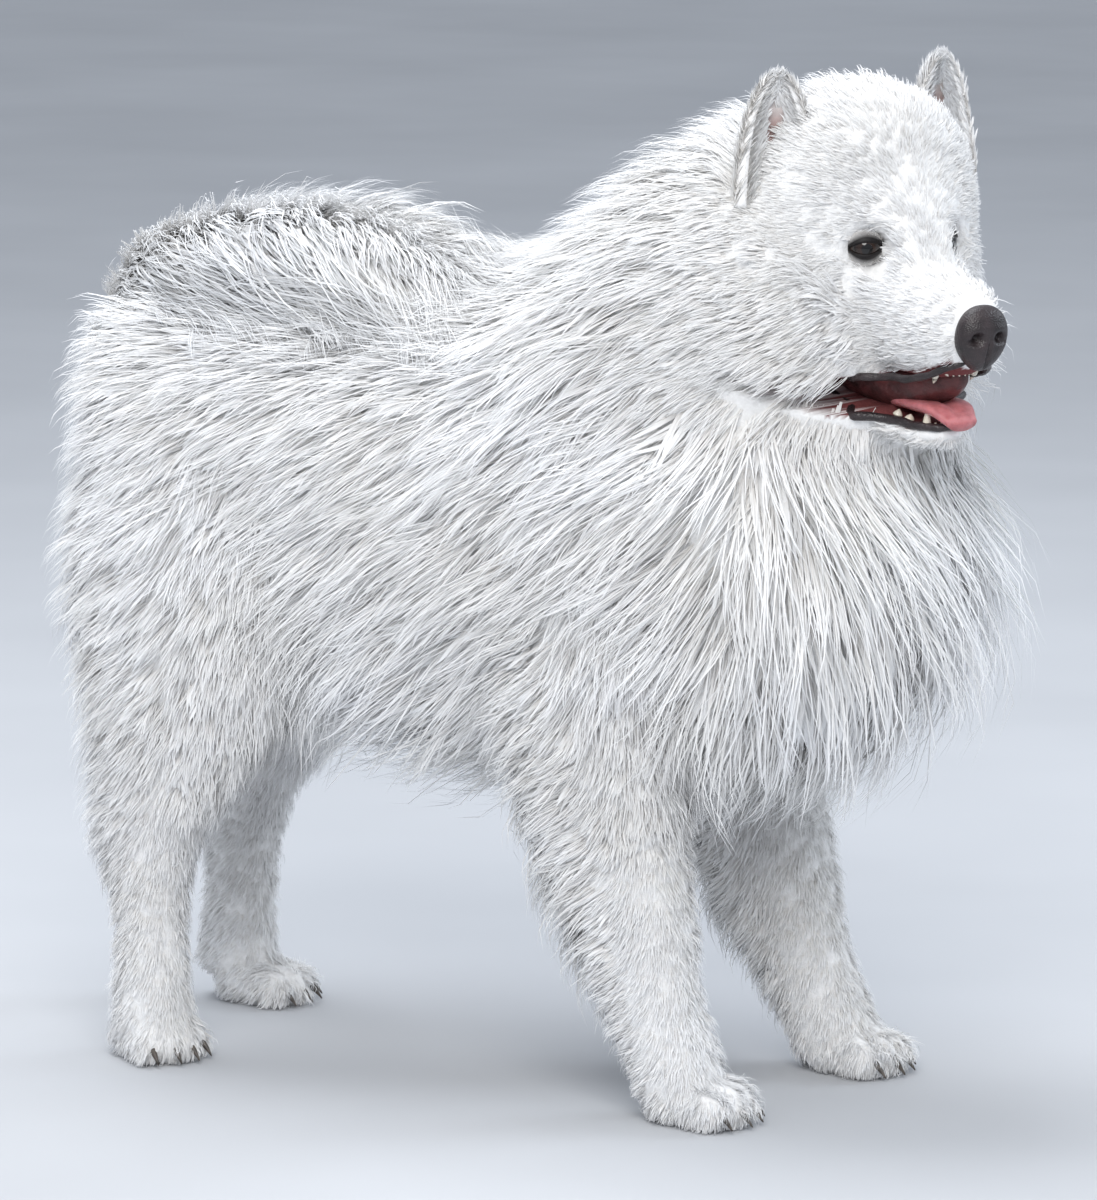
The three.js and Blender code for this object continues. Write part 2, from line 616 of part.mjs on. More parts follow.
// The lips: a rounded edge along each side of the mouth
function lips(line, radius, grow = 0) {
  const radii = line.map(() => radius);
  return [-1, 1].map((side) => taper(line.map(([t, l, u]) => inHead(t, side * l, u)), radii, { sides: 5, grow }));
}

// The head with its lids, upper lips and upper teeth
function head(grow = 0) {
  const lids = [-1, 1].map((side) => ball(side, EYE_RADIUS + LID_WALL, 8, grow));
  const skull = join([forms.head.solid(CORE_REACH, grow), ...lids]);
  const open = grow ? skull : skull.subtract(lidOpening(-1)).subtract(lidOpening(1));
  const mouth = [...lips(UPPER_LIP, UPPER_LIP_RADIUS, grow), ...teeth(-1, -72, 16, 78, grow)];
  return open.add(join([...mouth, ...locksOf('head', grow)]));
}

// The lower jaw with its lips and teeth
const jaw = (grow) => join([
  forms.jaw.solid(1, grow), ...lips(LOWER_LIP, LOWER_LIP_RADIUS, grow), ...teeth(1, -108, 13, 70, grow),
]);

// The nodes, in the order in which they keep their shape where two would meet
const nodes = [
  ['eye_left', EYE_DARK, (grow) => ball(1, EYE_RADIUS, 10, grow)],
  ['eye_right', EYE_DARK, (grow) => ball(-1, EYE_RADIUS, 10, grow)],
  ['nose', DARK_LEATHER, nose],
  ['tongue', TONGUE_PINK, (grow) => tongueForm.solid(0, grow)],
  ['head', WHITE_COAT, head],
  ['jaw', WHITE_COAT, jaw],
  ['ear_left', WHITE_COAT, (grow) => ear(EARS.left, grow)],
  ['ear_right', WHITE_COAT, (grow) => ear(EARS.right, grow)],
  ['tail', WHITE_COAT, (grow) => coated('tail', grow)],
  ['neck', WHITE_COAT, (grow) => coated('neck', grow)],
  ['torso', WHITE_COAT, (grow) => coated('torso', grow)],
  ...['right', 'left'].flatMap((side) => [
    [`fore_paw_${side}`, PAW_COAT, (grow) => paw(PAWS[`fore_paw_${side}`], grow)],
    [`hind_paw_${side}`, PAW_COAT, (grow) => paw(PAWS[`hind_paw_${side}`], grow)],
    [`foreleg_${side}`, WHITE_COAT, (grow) => coated(`foreleg_${side}`, grow)],
    [`hind_leg_${side}`, WHITE_COAT, (grow) => coated(`hind_leg_${side}`, grow)],
  ]),
];

// Everything below the floor is cut away, which gives the paws their flat soles
const GROUND_SIZE = 2000;
const GROUND_DEPTH = 100;
const ground = new THREE.BoxGeometry(GROUND_SIZE, GROUND_SIZE, GROUND_DEPTH).translate(0, 0, -GROUND_DEPTH / 2);
let taken = solidOf(ground);
const dog = new THREE.Group();
dog.name = 'samoyed';
for (const [name, material, build] of nodes) {
  const cut = largest(build(0).subtract(taken));
  const shape = largest(solidOf(geometryOf(cut)));
  const mesh = new THREE.Mesh(geometryOf(shape), material);
  mesh.name = name;
  dog.add(mesh);
  taken = taken.add(build(GAP)).add(shape);
}

// The origin goes on the floor, below the middle of the whole dog
const box = new THREE.Box3().setFromObject(dog);
const middle = box.getCenter(new THREE.Vector3());
for (const mesh of dog.children) mesh.geometry.translate(-middle.x, -middle.y, 0);

export default dog;
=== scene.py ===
"""A life-size standing samoyed: skin, coat, ears, eyes, nose, mouth, claws and the studio round them."""
import math

import bpy
import numpy as np
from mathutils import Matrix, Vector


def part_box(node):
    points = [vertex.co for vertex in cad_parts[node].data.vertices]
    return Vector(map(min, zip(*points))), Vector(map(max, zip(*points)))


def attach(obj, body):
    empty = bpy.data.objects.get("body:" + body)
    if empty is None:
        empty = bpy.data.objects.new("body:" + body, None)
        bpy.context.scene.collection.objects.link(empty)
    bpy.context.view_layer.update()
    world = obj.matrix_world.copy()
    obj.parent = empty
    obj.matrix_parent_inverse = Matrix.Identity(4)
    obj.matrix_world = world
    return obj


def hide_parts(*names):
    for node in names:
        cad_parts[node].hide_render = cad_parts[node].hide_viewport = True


bl_info = {
    "name": "Standing samoyed",
    "version": (1, 0, 0),
    "blender": (4, 5, 0),
    "location": "View3D > Sidebar > Samoyed",
    "description": "Builds a life-size samoyed with a long white coat",
    "category": "Object",
}

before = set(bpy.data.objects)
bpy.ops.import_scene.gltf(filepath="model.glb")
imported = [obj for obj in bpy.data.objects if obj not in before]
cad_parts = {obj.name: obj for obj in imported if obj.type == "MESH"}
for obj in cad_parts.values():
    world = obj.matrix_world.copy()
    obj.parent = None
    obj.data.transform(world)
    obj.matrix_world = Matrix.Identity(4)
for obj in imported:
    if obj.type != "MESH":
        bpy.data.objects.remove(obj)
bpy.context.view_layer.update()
MM = 0.001

# Form rows in millimetres: place, half width, up, down, then the coat's depth above, at the side and below
TORSO = [
    (-280, 0, 425, 44, 58, 62, 30, 34, 30), (-256, 0, 428, 82, 90, 88, 42, 42, 34),
    (-195, 0, 434, 96, 98, 92, 44, 42, 50), (-105, 0, 437, 94, 100, 104, 46, 46, 112),
    (-10, 0, 434, 100, 106, 132, 50, 52, 118), (80, 0, 430, 106, 110, 152, 58, 58, 96),
    (165, 0, 430, 100, 106, 150, 66, 68, 80), (232, 0, 432, 88, 98, 126, 84, 84, 100),
    (280, 0, 438, 66, 78, 96, 104, 104, 110), (312, 0, 446, 32, 44, 54, 116, 116, 116),
]
NECK = [
    (75, 0, 430, 98, 90, 100, 56, 66, 80), (135, 0, 490, 92, 84, 104, 50, 74, 96),
    (195, -2, 548, 86, 76, 106, 48, 82, 126), (243, -10, 596, 76, 74, 96, 44, 78, 134),
    (275, -20, 630, 62, 62, 70, 36, 60, 100),
]
FRONT_LEG = [
    (118, 62, 390, 34, 66, 66, 34, 44, 40), (138, 80, 325, 38, 55, 60, 34, 40, 44),
    (150, 88, 262, 33, 38, 44, 26, 24, 54), (164, 91, 195, 27, 30, 31, 13, 14, 56),
    (180, 93, 130, 25.5, 26, 27, 8, 9, 46), (190, 94, 85, 23, 22, 24, 6, 7, 26),
    (199, 95, 52, 25, 24, 27, 5, 5, 13), (206, 96, 24, 27, 27, 29, 3, 3, 4),
]
HIND_LEG = [
    (-185, 50, 430, 42, 88, 82, 36, 44, 36), (-180, 66, 360, 48, 80, 86, 34, 38, 40),
    (-176, 82, 290, 42, 58, 76, 26, 28, 46), (-192, 94, 225, 32, 38, 50, 16, 18, 38),
    (-212, 99, 165, 25, 27, 34, 9, 10, 24), (-217, 100, 110, 21, 21, 23, 6, 6, 10),
    (-217, 100, 60, 22, 22, 23, 5, 5, 7), (-216, 100, 24, 25, 26, 27, 3, 3, 4),
]
TAIL = [
    (-232, 0, 480, 28, 28, 28, 16, 30, 10), (-256, -3, 510, 22, 22, 22, 16, 36, 8),
    (-246, -8, 546, 20, 20, 20, 16, 56, 4), (-200, -16, 562, 18, 18, 18, 20, 84, 6),
    (-130, -28, 572, 16, 16, 16, 30, 96, 10), (-60, -40, 570, 13, 13, 13, 30, 92, 10),
    (-8, -52, 556, 9, 9, 9, 26, 66, 14), (22, -62, 540, 4, 4, 4, 18, 36, 14),
]
# The head's rows are in its own frame, from the point between the eyes: forward, left, up
HEAD = [
    (-112, 0, -8, 46, 50, 50, 20, 34, 30), (-88, 0, -2, 62, 80, 73, 30, 42, 34),
    (-52, 0, -5, 68, 86, 79, 30, 40, 26), (-24, 0, -8, 59, 81, 77, 22, 28, 14),
    (-6, 0, -18, 46, 66, 66, 10, 15, 9), (6, 0, -24, 38, 59, 59, 6, 10, 8),
    (18, 0, -32, 34, 50, 50, 4, 6, 6), (34, 0, -42, 33, 37, 37, 3, 4, 4),
    (60, 0, -42, 29, 34, 34, 3, 3, 3), (80, 0, -40, 24, 27, 27, 2, 2, 2),
    (91, 0, -37, 17, 18, 20, 1, 1, 1),
]
JAW = [
    (-54, 0, -97, 43, 13, 16, 2, 8, 8), (-15, 0, -111, 35, 9, 11, 1, 4, 6),
    (25, 0, -116, 27, 7, 8, 1, 3, 5), (55, 0, -115, 19, 6, 7, 1, 2, 4),
    (72, 0, -111, 10, 4, 6, 1, 1, 3),
]
TONGUE = [
    (-30, 0, -104, 18, 6, 6, 0, 0, 0), (5, 0, -103, 20, 6, 6, 0, 0, 0),
    (40, 0, -100, 19, 6, 5, 0, 0, 0), (66, 0, -98, 18, 6, 5, 0, 0, 0),
    (82, 0, -102, 12, 5, 5, 0, 0, 0),
]
UPPER_LIP = [(-50, 47, -85), (-30, 45, -89), (-8, 41, -89), (14, 36, -85), (34, 31, -80), (58, 27, -75),
             (76, 21, -66), (86, 11, -58), (88, 0, -54)]
LOWER_LIP = [(-51, 46, -87), (-32, 42, -99), (-10, 36, -108), (14, 28, -111), (38, 22, -110), (58, 16, -109),
             (70, 8, -107), (73, 0, -106)]
# A dark block filling the mouth between palate and tongue: painted shade of the mouth's inside, in the
# flesh's dark red
MOUTH_SHADE_BLOCK = [
    (-50, 0, -92, 36, 8, 14, 0, 0, 0), (-15, 0, -94, 32, 9, 15, 0, 0, 0), (20, 0, -90, 25, 12, 17, 0, 0, 0),
    (46, 0, -84, 19, 13, 15, 0, 0, 0), (66, 0, -77, 12, 13, 11, 0, 0, 0), (76, 0, -73, 6, 8, 6, 0, 0, 0),
]
FORE_STEP = 25
HIND_STEP = -48
SKIN_REACH = 0.44  # the share of the coat's depth at which the skin lies
HEAD_REACH = 0.45


def mirrored(rows):
    """The same rows on the other side of the dog."""
    return [(x, -y, *rest) for x, y, *rest in rows]


def moved(rows, shift):
    """A leg's rows with its foot a step further on: x + shift * (k / last)^0.45 for row k."""
    last = len(rows) - 1
    return [(x + shift * (k / last) ** 0.45, *rest) for k, (x, *rest) in enumerate(rows)]


def turn_about(axis, angle):
    """The 3 by 3 matrix that turns by an angle about the x, y or z axis."""
    c, s = math.cos(angle), math.sin(angle)
    a, b = {"x": (1, 2), "y": (2, 0), "z": (0, 1)}[axis]
    m = np.eye(3)
    m[a, a], m[a, b], m[b, a], m[b, b] = c, -s, s, c
    return m


HEAD_TURN = turn_about("z", math.radians(-30)) @ turn_about("y", math.radians(9))
EYE_LEVEL = np.array([347.0, -43.0, 609.0]) * MM
EYE_PLACE = (-7, 31, 0)


def eye_middle():
    low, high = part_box("eye_left")
    return (np.array(low) + np.array(high)) / 2


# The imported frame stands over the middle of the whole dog, while the rows start between the feet
SHIFT = eye_middle() - (HEAD_TURN @ (np.array(EYE_PLACE) * MM) + EYE_LEVEL)
SHIFT[2] = 0.0


def in_head(points):
    """Points in head millimetres, turned and moved into the frame in metres."""
    return np.asarray(points, float) @ HEAD_TURN.T * MM + EYE_LEVEL + SHIFT


def to_head(points):
    """The way back of in_head: frame metres to head millimetres."""
    return (np.asarray(points) - EYE_LEVEL - SHIFT) @ HEAD_TURN / MM


def unit(v):
    return v / np.maximum(np.linalg.norm(v, axis=-1, keepdims=True), 1e-9)


def circle(count):
    """Evenly spread angles once round."""
    return np.linspace(0, 2 * math.pi, count, endpoint=False)


def unit_ball(theta, phi):
    """Points of a ball of size one: (sin theta cos phi, sin theta sin phi, cos theta)."""
    parts = np.sin(theta) * np.cos(phi), np.sin(theta) * np.sin(phi), np.cos(theta)
    return np.stack(np.broadcast_arrays(*parts), -1)


class Form:
    """A body form through rows of sizes.

    Between rows each number follows a cubic with the neighbours' slopes. Round the form the section is a
    superellipse: sign(cos)|cos|^(2/n) across and sign(sin)|sin|^(2/n) upward, each stretched by the
    flesh's half size and by a share of the coat's depth, which is the side depth times cos squared plus
    the upper or lower depth times sin squared.
    """

    def __init__(self, rows, fullness=2.2, ends=0.5, head=False):
        self.rows = np.array(rows, float)
        self.fullness = fullness
        self.ends = ends
        self.head = head
        self.reach = HEAD_REACH if head else SKIN_REACH
        spans = np.linalg.norm(np.diff(self.rows[:, :3], axis=0), axis=1)
        self.places = np.concatenate([[0], np.cumsum(spans)])
        self.span = self.places[-1]

    def row(self, t):
        """The row's numbers at the share t of the form's length."""
        rows, places = self.rows, self.places
        at = np.clip(t, 0, 1) * self.span
        k = np.clip(np.searchsorted(places, at, side="right") - 1, 0, len(rows) - 2)
        gap = (places[k + 1] - places[k])[..., None]
        s = ((at - places[k])[..., None]) / gap
        before, after = np.maximum(k - 1, 0), np.minimum(k + 2, len(rows) - 1)
        slope_a = (rows[k + 1] - rows[before]) / (places[k + 1] - places[before])[..., None]
        slope_b = (rows[after] - rows[k]) / (places[after] - places[k])[..., None]
        return ((2 * s**3 - 3 * s**2 + 1) * rows[k] + (s**3 - 2 * s**2 + s) * gap * slope_a
                + (3 * s**2 - 2 * s**3) * rows[k + 1] + (s**3 - s**2) * gap * slope_b)

    def axes(self, t):
        """The ways along, to the side and up; forms of the head keep the head's own."""
        if self.head:
            shape = np.shape(t) + (3,)
            return [np.broadcast_to(np.array(v, float), shape) for v in ((1, 0, 0), (0, 1, 0), (0, 0, 1))]
        along = unit(self.row(np.minimum(1, t + 0.01))[..., :3] - self.row(np.maximum(0, t - 0.01))[..., :3])
        left = np.array([0.0, 1.0, 0.0])
        side = unit(left - along * along[..., 1:2])
        return along, side, np.cross(along, side)

    def place(self, points):
        """The form's millimetres in the frame."""
        return in_head(points) if self.head else points * MM + SHIFT

    def point(self, t, a, reach):
        """The surface at t along and at angle a round, with this share of the coat's depth."""
        t, a = np.broadcast_arrays(np.asarray(t, float), np.asarray(a, float))
        row = self.row(t)
        _, side, rise = self.axes(t)
        c, s = np.cos(a), np.sin(a)
        up = s > 0
        coat = row[..., 7] * c**2 + np.where(up, row[..., 6], row[..., 8]) * s**2
        bend = 2 / self.fullness
        across = (row[..., 3] + reach * coat) * np.sign(c) * np.abs(c) ** bend
        high = (np.where(up, row[..., 4], row[..., 5]) + reach * coat) * np.sign(s) * np.abs(s) ** bend
        return self.place(row[..., :3] + across[..., None] * side + high[..., None] * rise)

    def tip(self, t, reach):
        """The point that closes the form's end."""
        row = self.row(np.array(float(t)))
        along = self.axes(np.array(float(t)))[0]
        out = (1 if t > 0.5 else -1) * self.ends * (row[3] * 0.5 + reach * row[8])
        return self.place(row[:3] + out * along)

    def surface(self, rings, around, reach):
        """The form as a closed surface, at a share of its coat's depth."""
        t, a = np.linspace(0, 1, rings)[:, None], circle(around)[None]
        return tube(self.point(t, a, reach), self.tip(0, reach), self.tip(1, reach))


FORMS = {
    "torso": Form(TORSO),
    "neck": Form(NECK),
    "head": Form(HEAD, fullness=2.3, head=True),
    "jaw": Form(JAW, head=True),
    "tail": Form(TAIL, ends=1.0),
    "foreleg_right": Form(mirrored(FRONT_LEG)),
    "foreleg_left": Form(moved(FRONT_LEG, FORE_STEP)),
    "hind_leg_right": Form(mirrored(HIND_LEG)),
    "hind_leg_left": Form(moved(HIND_LEG, HIND_STEP)),
}
NAMES = list(FORMS)
NECK_NUMBER = NAMES.index("neck")
FACE_NUMBERS = (NAMES.index("head"), NAMES.index("jaw"))
# Each paw: place in millimetres, turn and size
PAWS = {
    "fore_paw_right": (219, -96, 0.0, 1.0),
    "fore_paw_left": (219 + FORE_STEP, 96, 0.0, 1.0),
    "hind_paw_right": (-216, -99, -0.4, 0.93),
    "hind_paw_left": (-216 + HIND_STEP + 24, 99, 0.1, 0.93),
}
PAW_SIZE = (80, 62, 40)  # length, width and height


def grid_faces(rows, columns, first=0):
    """Quads over a grid of rows by columns that is closed the second way round, facing outward."""
    i, j = np.meshgrid(np.arange(rows - 1), np.arange(columns), indexing="ij")
    a = i * columns + j
    b = i * columns + (j + 1) % columns
    return np.stack([a, b, b + columns, a + columns], -1).reshape(-1, 4) + first


def tube(points, start, end):
    """A closed surface over rings (rows, columns, 3), with a fan of triangles to a point at both ends."""
    rows, columns = points.shape[:2]
    verts = np.concatenate([points.reshape(-1, 3), [start, end]])
    j = np.arange(columns)
    nxt = (j + 1) % columns
    last = (rows - 1) * columns
    caps = np.concatenate([
        np.stack([np.full(columns, rows * columns), nxt, j], -1),
        np.stack([np.full(columns, rows * columns + 1), last + j, last + nxt], -1),
    ])
    return verts, grid_faces(rows, columns), caps


def joined(parts):
    """Several (points, quads, triangles) as one, with the later numbers moved up."""
    points, quads, triangles, count = [], [], [], 0
    for p, q, t in parts:
        points.append(p)
        quads.append(np.asarray(q, int).reshape(-1, 4) + count)
        triangles.append(np.asarray(t, int).reshape(-1, 3) + count)
        count += len(p)
    return np.concatenate(points), np.concatenate(quads), np.concatenate(triangles)


def new_object(name, points, quads, triangles):
    """A mesh object from arrays of points, quads and triangles."""
    mesh = bpy.data.meshes.new(name)
    loops = np.concatenate([quads.ravel(), triangles.ravel()]).astype(np.int32)
    sizes = np.concatenate([np.full(len(quads), 4), np.full(len(triangles), 3)]).astype(np.int32)
    starts = np.concatenate([[0], np.cumsum(sizes)[:-1]]).astype(np.int32)
    mesh.vertices.add(len(points))
    mesh.vertices.foreach_set("co", np.ascontiguousarray(points, np.float32).ravel())
    mesh.loops.add(len(loops))
    mesh.loops.foreach_set("vertex_index", loops)
    mesh.polygons.add(len(sizes))
    mesh.polygons.foreach_set("loop_start", starts)
    mesh.polygons.foreach_set("loop_total", sizes)
    mesh.polygons.foreach_set("use_smooth", np.ones(len(sizes), bool))
    mesh.update(calc_edges=True)
    mesh.validate()
    piece = bpy.data.objects.new(name, mesh)
    bpy.context.scene.collection.objects.link(piece)
    return piece


def mark(piece, name, values):
    """A number kept for each point, for the material to read."""
    layer = piece.data.attributes.new(name, "FLOAT", "POINT")
    layer.data.foreach_set("value", np.asarray(values, np.float32))


def dress(piece, material, nodes=()):
    """Gives a piece its material and its body, and hides the CAD nodes it stands for."""
    piece.data.materials.clear()
    piece.data.materials.append(material)
    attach(piece, "root")
    if nodes:
        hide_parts(*nodes)


def egg(middle, half, turn=0.0, rings=14, around=20):
    """An ellipsoid: middle + half * (sin v cos u, sin v sin u, cos v), turned about the vertical."""
    points = unit_ball(np.linspace(0, math.pi, rings + 2)[1:-1][:, None], circle(around)[None])
    points = (points[::-1] * half) @ turn_about("z", turn).T + middle
    poles = np.array([(0, 0, -half[2]), (0, 0, half[2])]) + middle
    return tube(points, poles[0], poles[1])


def pipe(path, radius, around=10):
    """A tube of varying radius along a path: path + radius * (side cos u + rise sin u)."""
    path = np.asarray(path, float)
    radius = np.broadcast_to(np.asarray(radius, float), (len(path),))
    along = unit(np.gradient(path, axis=0))
    guide = np.where(np.abs(along[:, 2:3]) > 0.9, np.array([[1.0, 0, 0]]), np.array([[0, 0, 1.0]]))
    side = unit(np.cross(guide, along))
    rise = np.cross(along, side)
    u = circle(around)[None, :, None]
    ring = side[:, None] * np.cos(u) + rise[:, None] * np.sin(u)
    points = path[:, None] + radius[:, None, None] * ring
    return tube(points, path[0] - along[0] * radius[0] * 0.5, path[-1] + along[-1] * radius[-1] * 0.5)


def curve_through(points, count):
    """Evenly spread points on a smooth curve through the given ones, by the same cubics as the forms."""
    rows = np.asarray(points, float)
    return Form(np.hstack([rows, np.zeros((len(rows), 6))])).row(np.linspace(0, 1, count))[:, :3]


def paw_parts(x, y, turn, size):
    """One paw in metres: a low pad and four toes, as eggs side by side, with the toes' claw roots."""
    length, width, height = (v * size for v in PAW_SIZE)
    spin = turn_about("z", turn)

    def at(p):
        """The paw's own millimetres in the frame."""
        return (np.asarray(p, float) @ spin.T + (x, y, 0)) * MM + SHIFT

    pad = egg((-length * 0.14, 0, height * 0.42), (length * 0.36, width * 0.43, height * 0.56))
    parts, claws = [(at(pad[0]), *pad[1:])], []
    for row in (-1.5, -0.5, 0.5, 1.5):
        inner = abs(row) < 1
        reach = length * (0.24 if inner else 0.15)
        spread = row * width * 0.235
        half = (length * 0.25, width * 0.135, height * (0.44 if inner else 0.4))
        toe = egg((reach, spread, height * 0.34), half, row * 0.12)
        parts.append((at(toe[0]), *toe[1:]))
        root = np.array([reach + length * 0.17, spread * 1.05, height * 0.34])
        s = np.linspace(0, 1, 7)[:, None]
        bend = root + s * (length * 0.15, row * 1.4, -height * 0.1) - s**2 * (0, 0, height * 0.16)
        claws.append(pipe(at(bend), 0.003 * size * (1 - 0.85 * s[:, 0] ** 1.5), 10))
    return parts, claws


def nearest(points, targets, count):
    """The numbers and squared distances of the nearest targets to each point, worked out in blocks."""
    found, gaps = [], []
    targets = targets.astype(np.float32)
    lengths = (targets**2).sum(1)
    for block in np.array_split(points.astype(np.float32), max(1, len(points) // 1500)):
        d = lengths[None] - 2 * block @ targets.T
        if count == 1:
            k = d.argmin(1)[:, None]
        else:
            k = np.argpartition(d, count, axis=1)[:, :count]
        found.append(k)
        gaps.append(np.take_along_axis(d, k, 1) + (block**2).sum(1)[:, None])
    return np.concatenate(found), np.maximum(np.concatenate(gaps), 0)


def vertex_arrays(mesh):
    """The places and normals of a mesh's points."""
    co = np.empty(len(mesh.vertices) * 3, np.float32)
    normal = np.empty_like(co)
    mesh.vertices.foreach_get("co", co)
    mesh.vertices.foreach_get("normal", normal)
    return co.reshape(-1, 3).astype(float), normal.reshape(-1, 3).astype(float)


def relax(co, edges, steps, weight):
    """Moves each point toward the mean of its neighbours, by its weight, a number of times."""
    count = np.bincount(edges.ravel(), minlength=len(co))[:, None]
    for _ in range(steps):
        total = np.zeros_like(co)
        for axis in range(3):
            total[:, axis] = (np.bincount(edges[:, 0], co[edges[:, 1], axis], len(co))
                              + np.bincount(edges[:, 1], co[edges[:, 0], axis], len(co)))
        co = co + weight * (total / count - co)
    return co


def material(name, roughness, specular, **sockets):
    """A new material with its tree and its shader, where other sockets are given by name."""
    made = bpy.data.materials.new(name)
    made.use_nodes = True
    shader = made.node_tree.nodes["Principled BSDF"]
    shader.inputs["Roughness"].default_value = roughness
    shader.inputs["Specular IOR Level"].default_value = specular
    for socket, value in sockets.items():
        shader.inputs[socket.replace("_", " ")].default_value = value
    return made, made.node_tree, shader


def node(tree, kind, **settings):
    """A node with its inputs or its own settings filled in."""
    made = tree.nodes.new(kind)
    for key, value in settings.items():
        if key in made.inputs:
            made.inputs[key].default_value = value
        else:
            setattr(made, key, value)
    return made


def ramp(tree, source, stops):
    """A colour ramp from (place, colour) stops, fed by a socket."""
    made = tree.nodes.new("ShaderNodeValToRGB")
    points, stops = made.color_ramp.elements, list(stops)
    while len(points) < len(stops):
        points.new(0.5)
    for point, (place, colour) in zip(points, stops):
        point.position = place
        point.color = (*colour, 1)
    tree.links.new(source, made.inputs["Fac"])
    return made.outputs["Color"]


def blend(tree, factor, first, second, mode="MIX"):
    """Two colours mixed: each is a socket or a plain colour, and so is the factor."""
    made = tree.nodes.new("ShaderNodeMix")
    made.data_type = "RGBA"
    made.blend_type = mode
    for key, value in ((0, factor), (6, first), (7, second)):
        if isinstance(value, bpy.types.NodeSocket):
            tree.links.new(value, made.inputs[key])
        else:
            made.inputs[key].default_value = value if key == 0 else (*value, 1)
    return made.outputs[2]


def noise(tree, scale, detail=3.0, roughness=0.55):
    """Noise over the object's own coordinates."""
    place = node(tree, "ShaderNodeTexCoord")
    made = node(tree, "ShaderNodeTexNoise", Scale=scale, Detail=detail, Roughness=roughness)
    tree.links.new(place.outputs["Object"], made.inputs["Vector"])
    return made.outputs["Fac"]


def tones(tree, scale, dark, light, detail=3.0, stops=(0.3, 0.7)):
    """Two tones in soft patches of noise."""
    return ramp(tree, noise(tree, scale, detail), zip(stops, (dark, light)))


def paint(tree, shader, colour):
    """Gives the shader its colour."""
    tree.links.new(colour, shader.inputs["Base Color"])


def bump(tree, shader, height, strength, distance):
    """Gives the shader a fine relief."""
    made = node(tree, "ShaderNodeBump", Strength=strength, Distance=distance)
    tree.links.new(height, made.inputs["Height"])
    tree.links.new(made.outputs["Normal"], shader.inputs["Normal"])


def attribute(tree, name):
    """The number kept under a name for each point."""
    return node(tree, "ShaderNodeAttribute", attribute_name=name).outputs["Fac"]


def coat_material():
    """Long white hair: cream grey at the roots as painted shade of the coat's depth, cool white at the tips,
    in streaks and patches.
    """
    made, tree, shader = material("white_coat", 0.62, 0.25, Sheen_Weight=0.25, Sheen_Roughness=0.5)
    # painted shade: each blade darkens toward its root, where the coat shades itself
    length = ramp(tree, attribute(tree, "tip"),
                  [(0.0, (0.78, 0.76, 0.74)), (0.35, (0.87, 0.865, 0.86)), (0.8, (0.93, 0.935, 0.945))])
    tuft = ramp(tree, attribute(tree, "tuft"),
                [(0.0, (0.88, 0.875, 0.87)), (0.5, (0.97, 0.97, 0.975)), (1.0, (1, 1, 1))])
    colour = blend(tree, 1.0, length, tuft, "MULTIPLY")
    patches = tones(tree, 7.0, (0.95, 0.94, 0.92), (1.0, 1.0, 1.0), stops=(0.35, 0.65))
    paint(tree, shader, blend(tree, 1.0, colour, patches, "MULTIPLY"))
    return made


def skin_material():
    """Skin under the coat, dark round the mouth and eyes, with fine short hair as bump."""
    made, tree, shader = material("skin_under_coat", 0.8, 0.2)
    hair = tones(tree, 240.0, (0.80, 0.79, 0.78), (0.92, 0.915, 0.91), 4.0)
    dark = blend(tree, attribute(tree, "mouth"), hair, (0.16, 0.045, 0.045))
    paint(tree, shader, blend(tree, attribute(tree, "rim"), dark, (0.012, 0.009, 0.008)))
    bump(tree, shader, noise(tree, 520.0), 0.5, 0.0012)
    return made


def leather_material():
    """Nose and lip leather: near black, with small raised scales and a damp shine."""
    made, tree, shader = material("dark_leather", 0.38, 0.5)
    place = node(tree, "ShaderNodeTexCoord")
    scales = node(tree, "ShaderNodeTexVoronoi", Scale=900.0)
    tree.links.new(place.outputs["Object"], scales.inputs["Vector"])
    paint(tree, shader, tones(tree, 90.0, (0.012, 0.009, 0.010), (0.046, 0.032, 0.034), stops=(0.3, 0.75)))
    bump(tree, shader, scales.outputs["Distance"], 0.5, 0.0006)
    return made


def lid_material():
    """Eyelids: black at the edge, fading to the pale short hair round the eye."""
    made, tree, shader = material("eyelid", 0.55, 0.3)
    hair = tones(tree, 500.0, (0.55, 0.52, 0.50), (0.80, 0.79, 0.78), 4.0)
    paint(tree, shader, blend(tree, attribute(tree, "rim"), hair, (0.010, 0.008, 0.008)))
    bump(tree, shader, noise(tree, 700.0), 0.4, 0.0008)
    return made


def eye_material():
    """Dark brown eye with a black pupil under a clear wet surface."""
    made, tree, shader = material("dark_eye", 0.06, 0.45, Coat_Weight=0.25, Coat_Roughness=0.03)
    stops = [(0.0, (0.002, 0.002, 0.002)), (0.20, (0.003, 0.002, 0.002)), (0.24, (0.026, 0.011, 0.006)),
             (0.44, (0.016, 0.008, 0.005)), (0.50, (0.004, 0.003, 0.003)), (0.66, (0.05, 0.035, 0.03))]
    rings = ramp(tree, attribute(tree, "ring"), stops)
    streaks = tones(tree, 1400.0, (0.6, 0.6, 0.6), (1.2, 1.1, 1.0))
    paint(tree, shader, blend(tree, 1.0, rings, streaks, "MULTIPLY"))
    return made


def two_tone(name, roughness, specular, tone, grain=None, **sockets):
    """A material of two tones (scale, dark, light), with a grain (scale, strength, distance) as bump."""
    made, tree, shader = material(name, roughness, specular, **sockets)
    paint(tree, shader, tones(tree, *tone))
    if grain:
        bump(tree, shader, noise(tree, grain[0]), *grain[1:])
    return made


def tongue_material():
    """Pink wet tongue with small bumps."""
    return two_tone("pink_tongue", 0.33, 0.5, (160.0, (0.42, 0.12, 0.13), (0.62, 0.22, 0.23)),
                    (1500.0, 0.5, 0.0008), Subsurface_Weight=0.15, Subsurface_Scale=0.01)


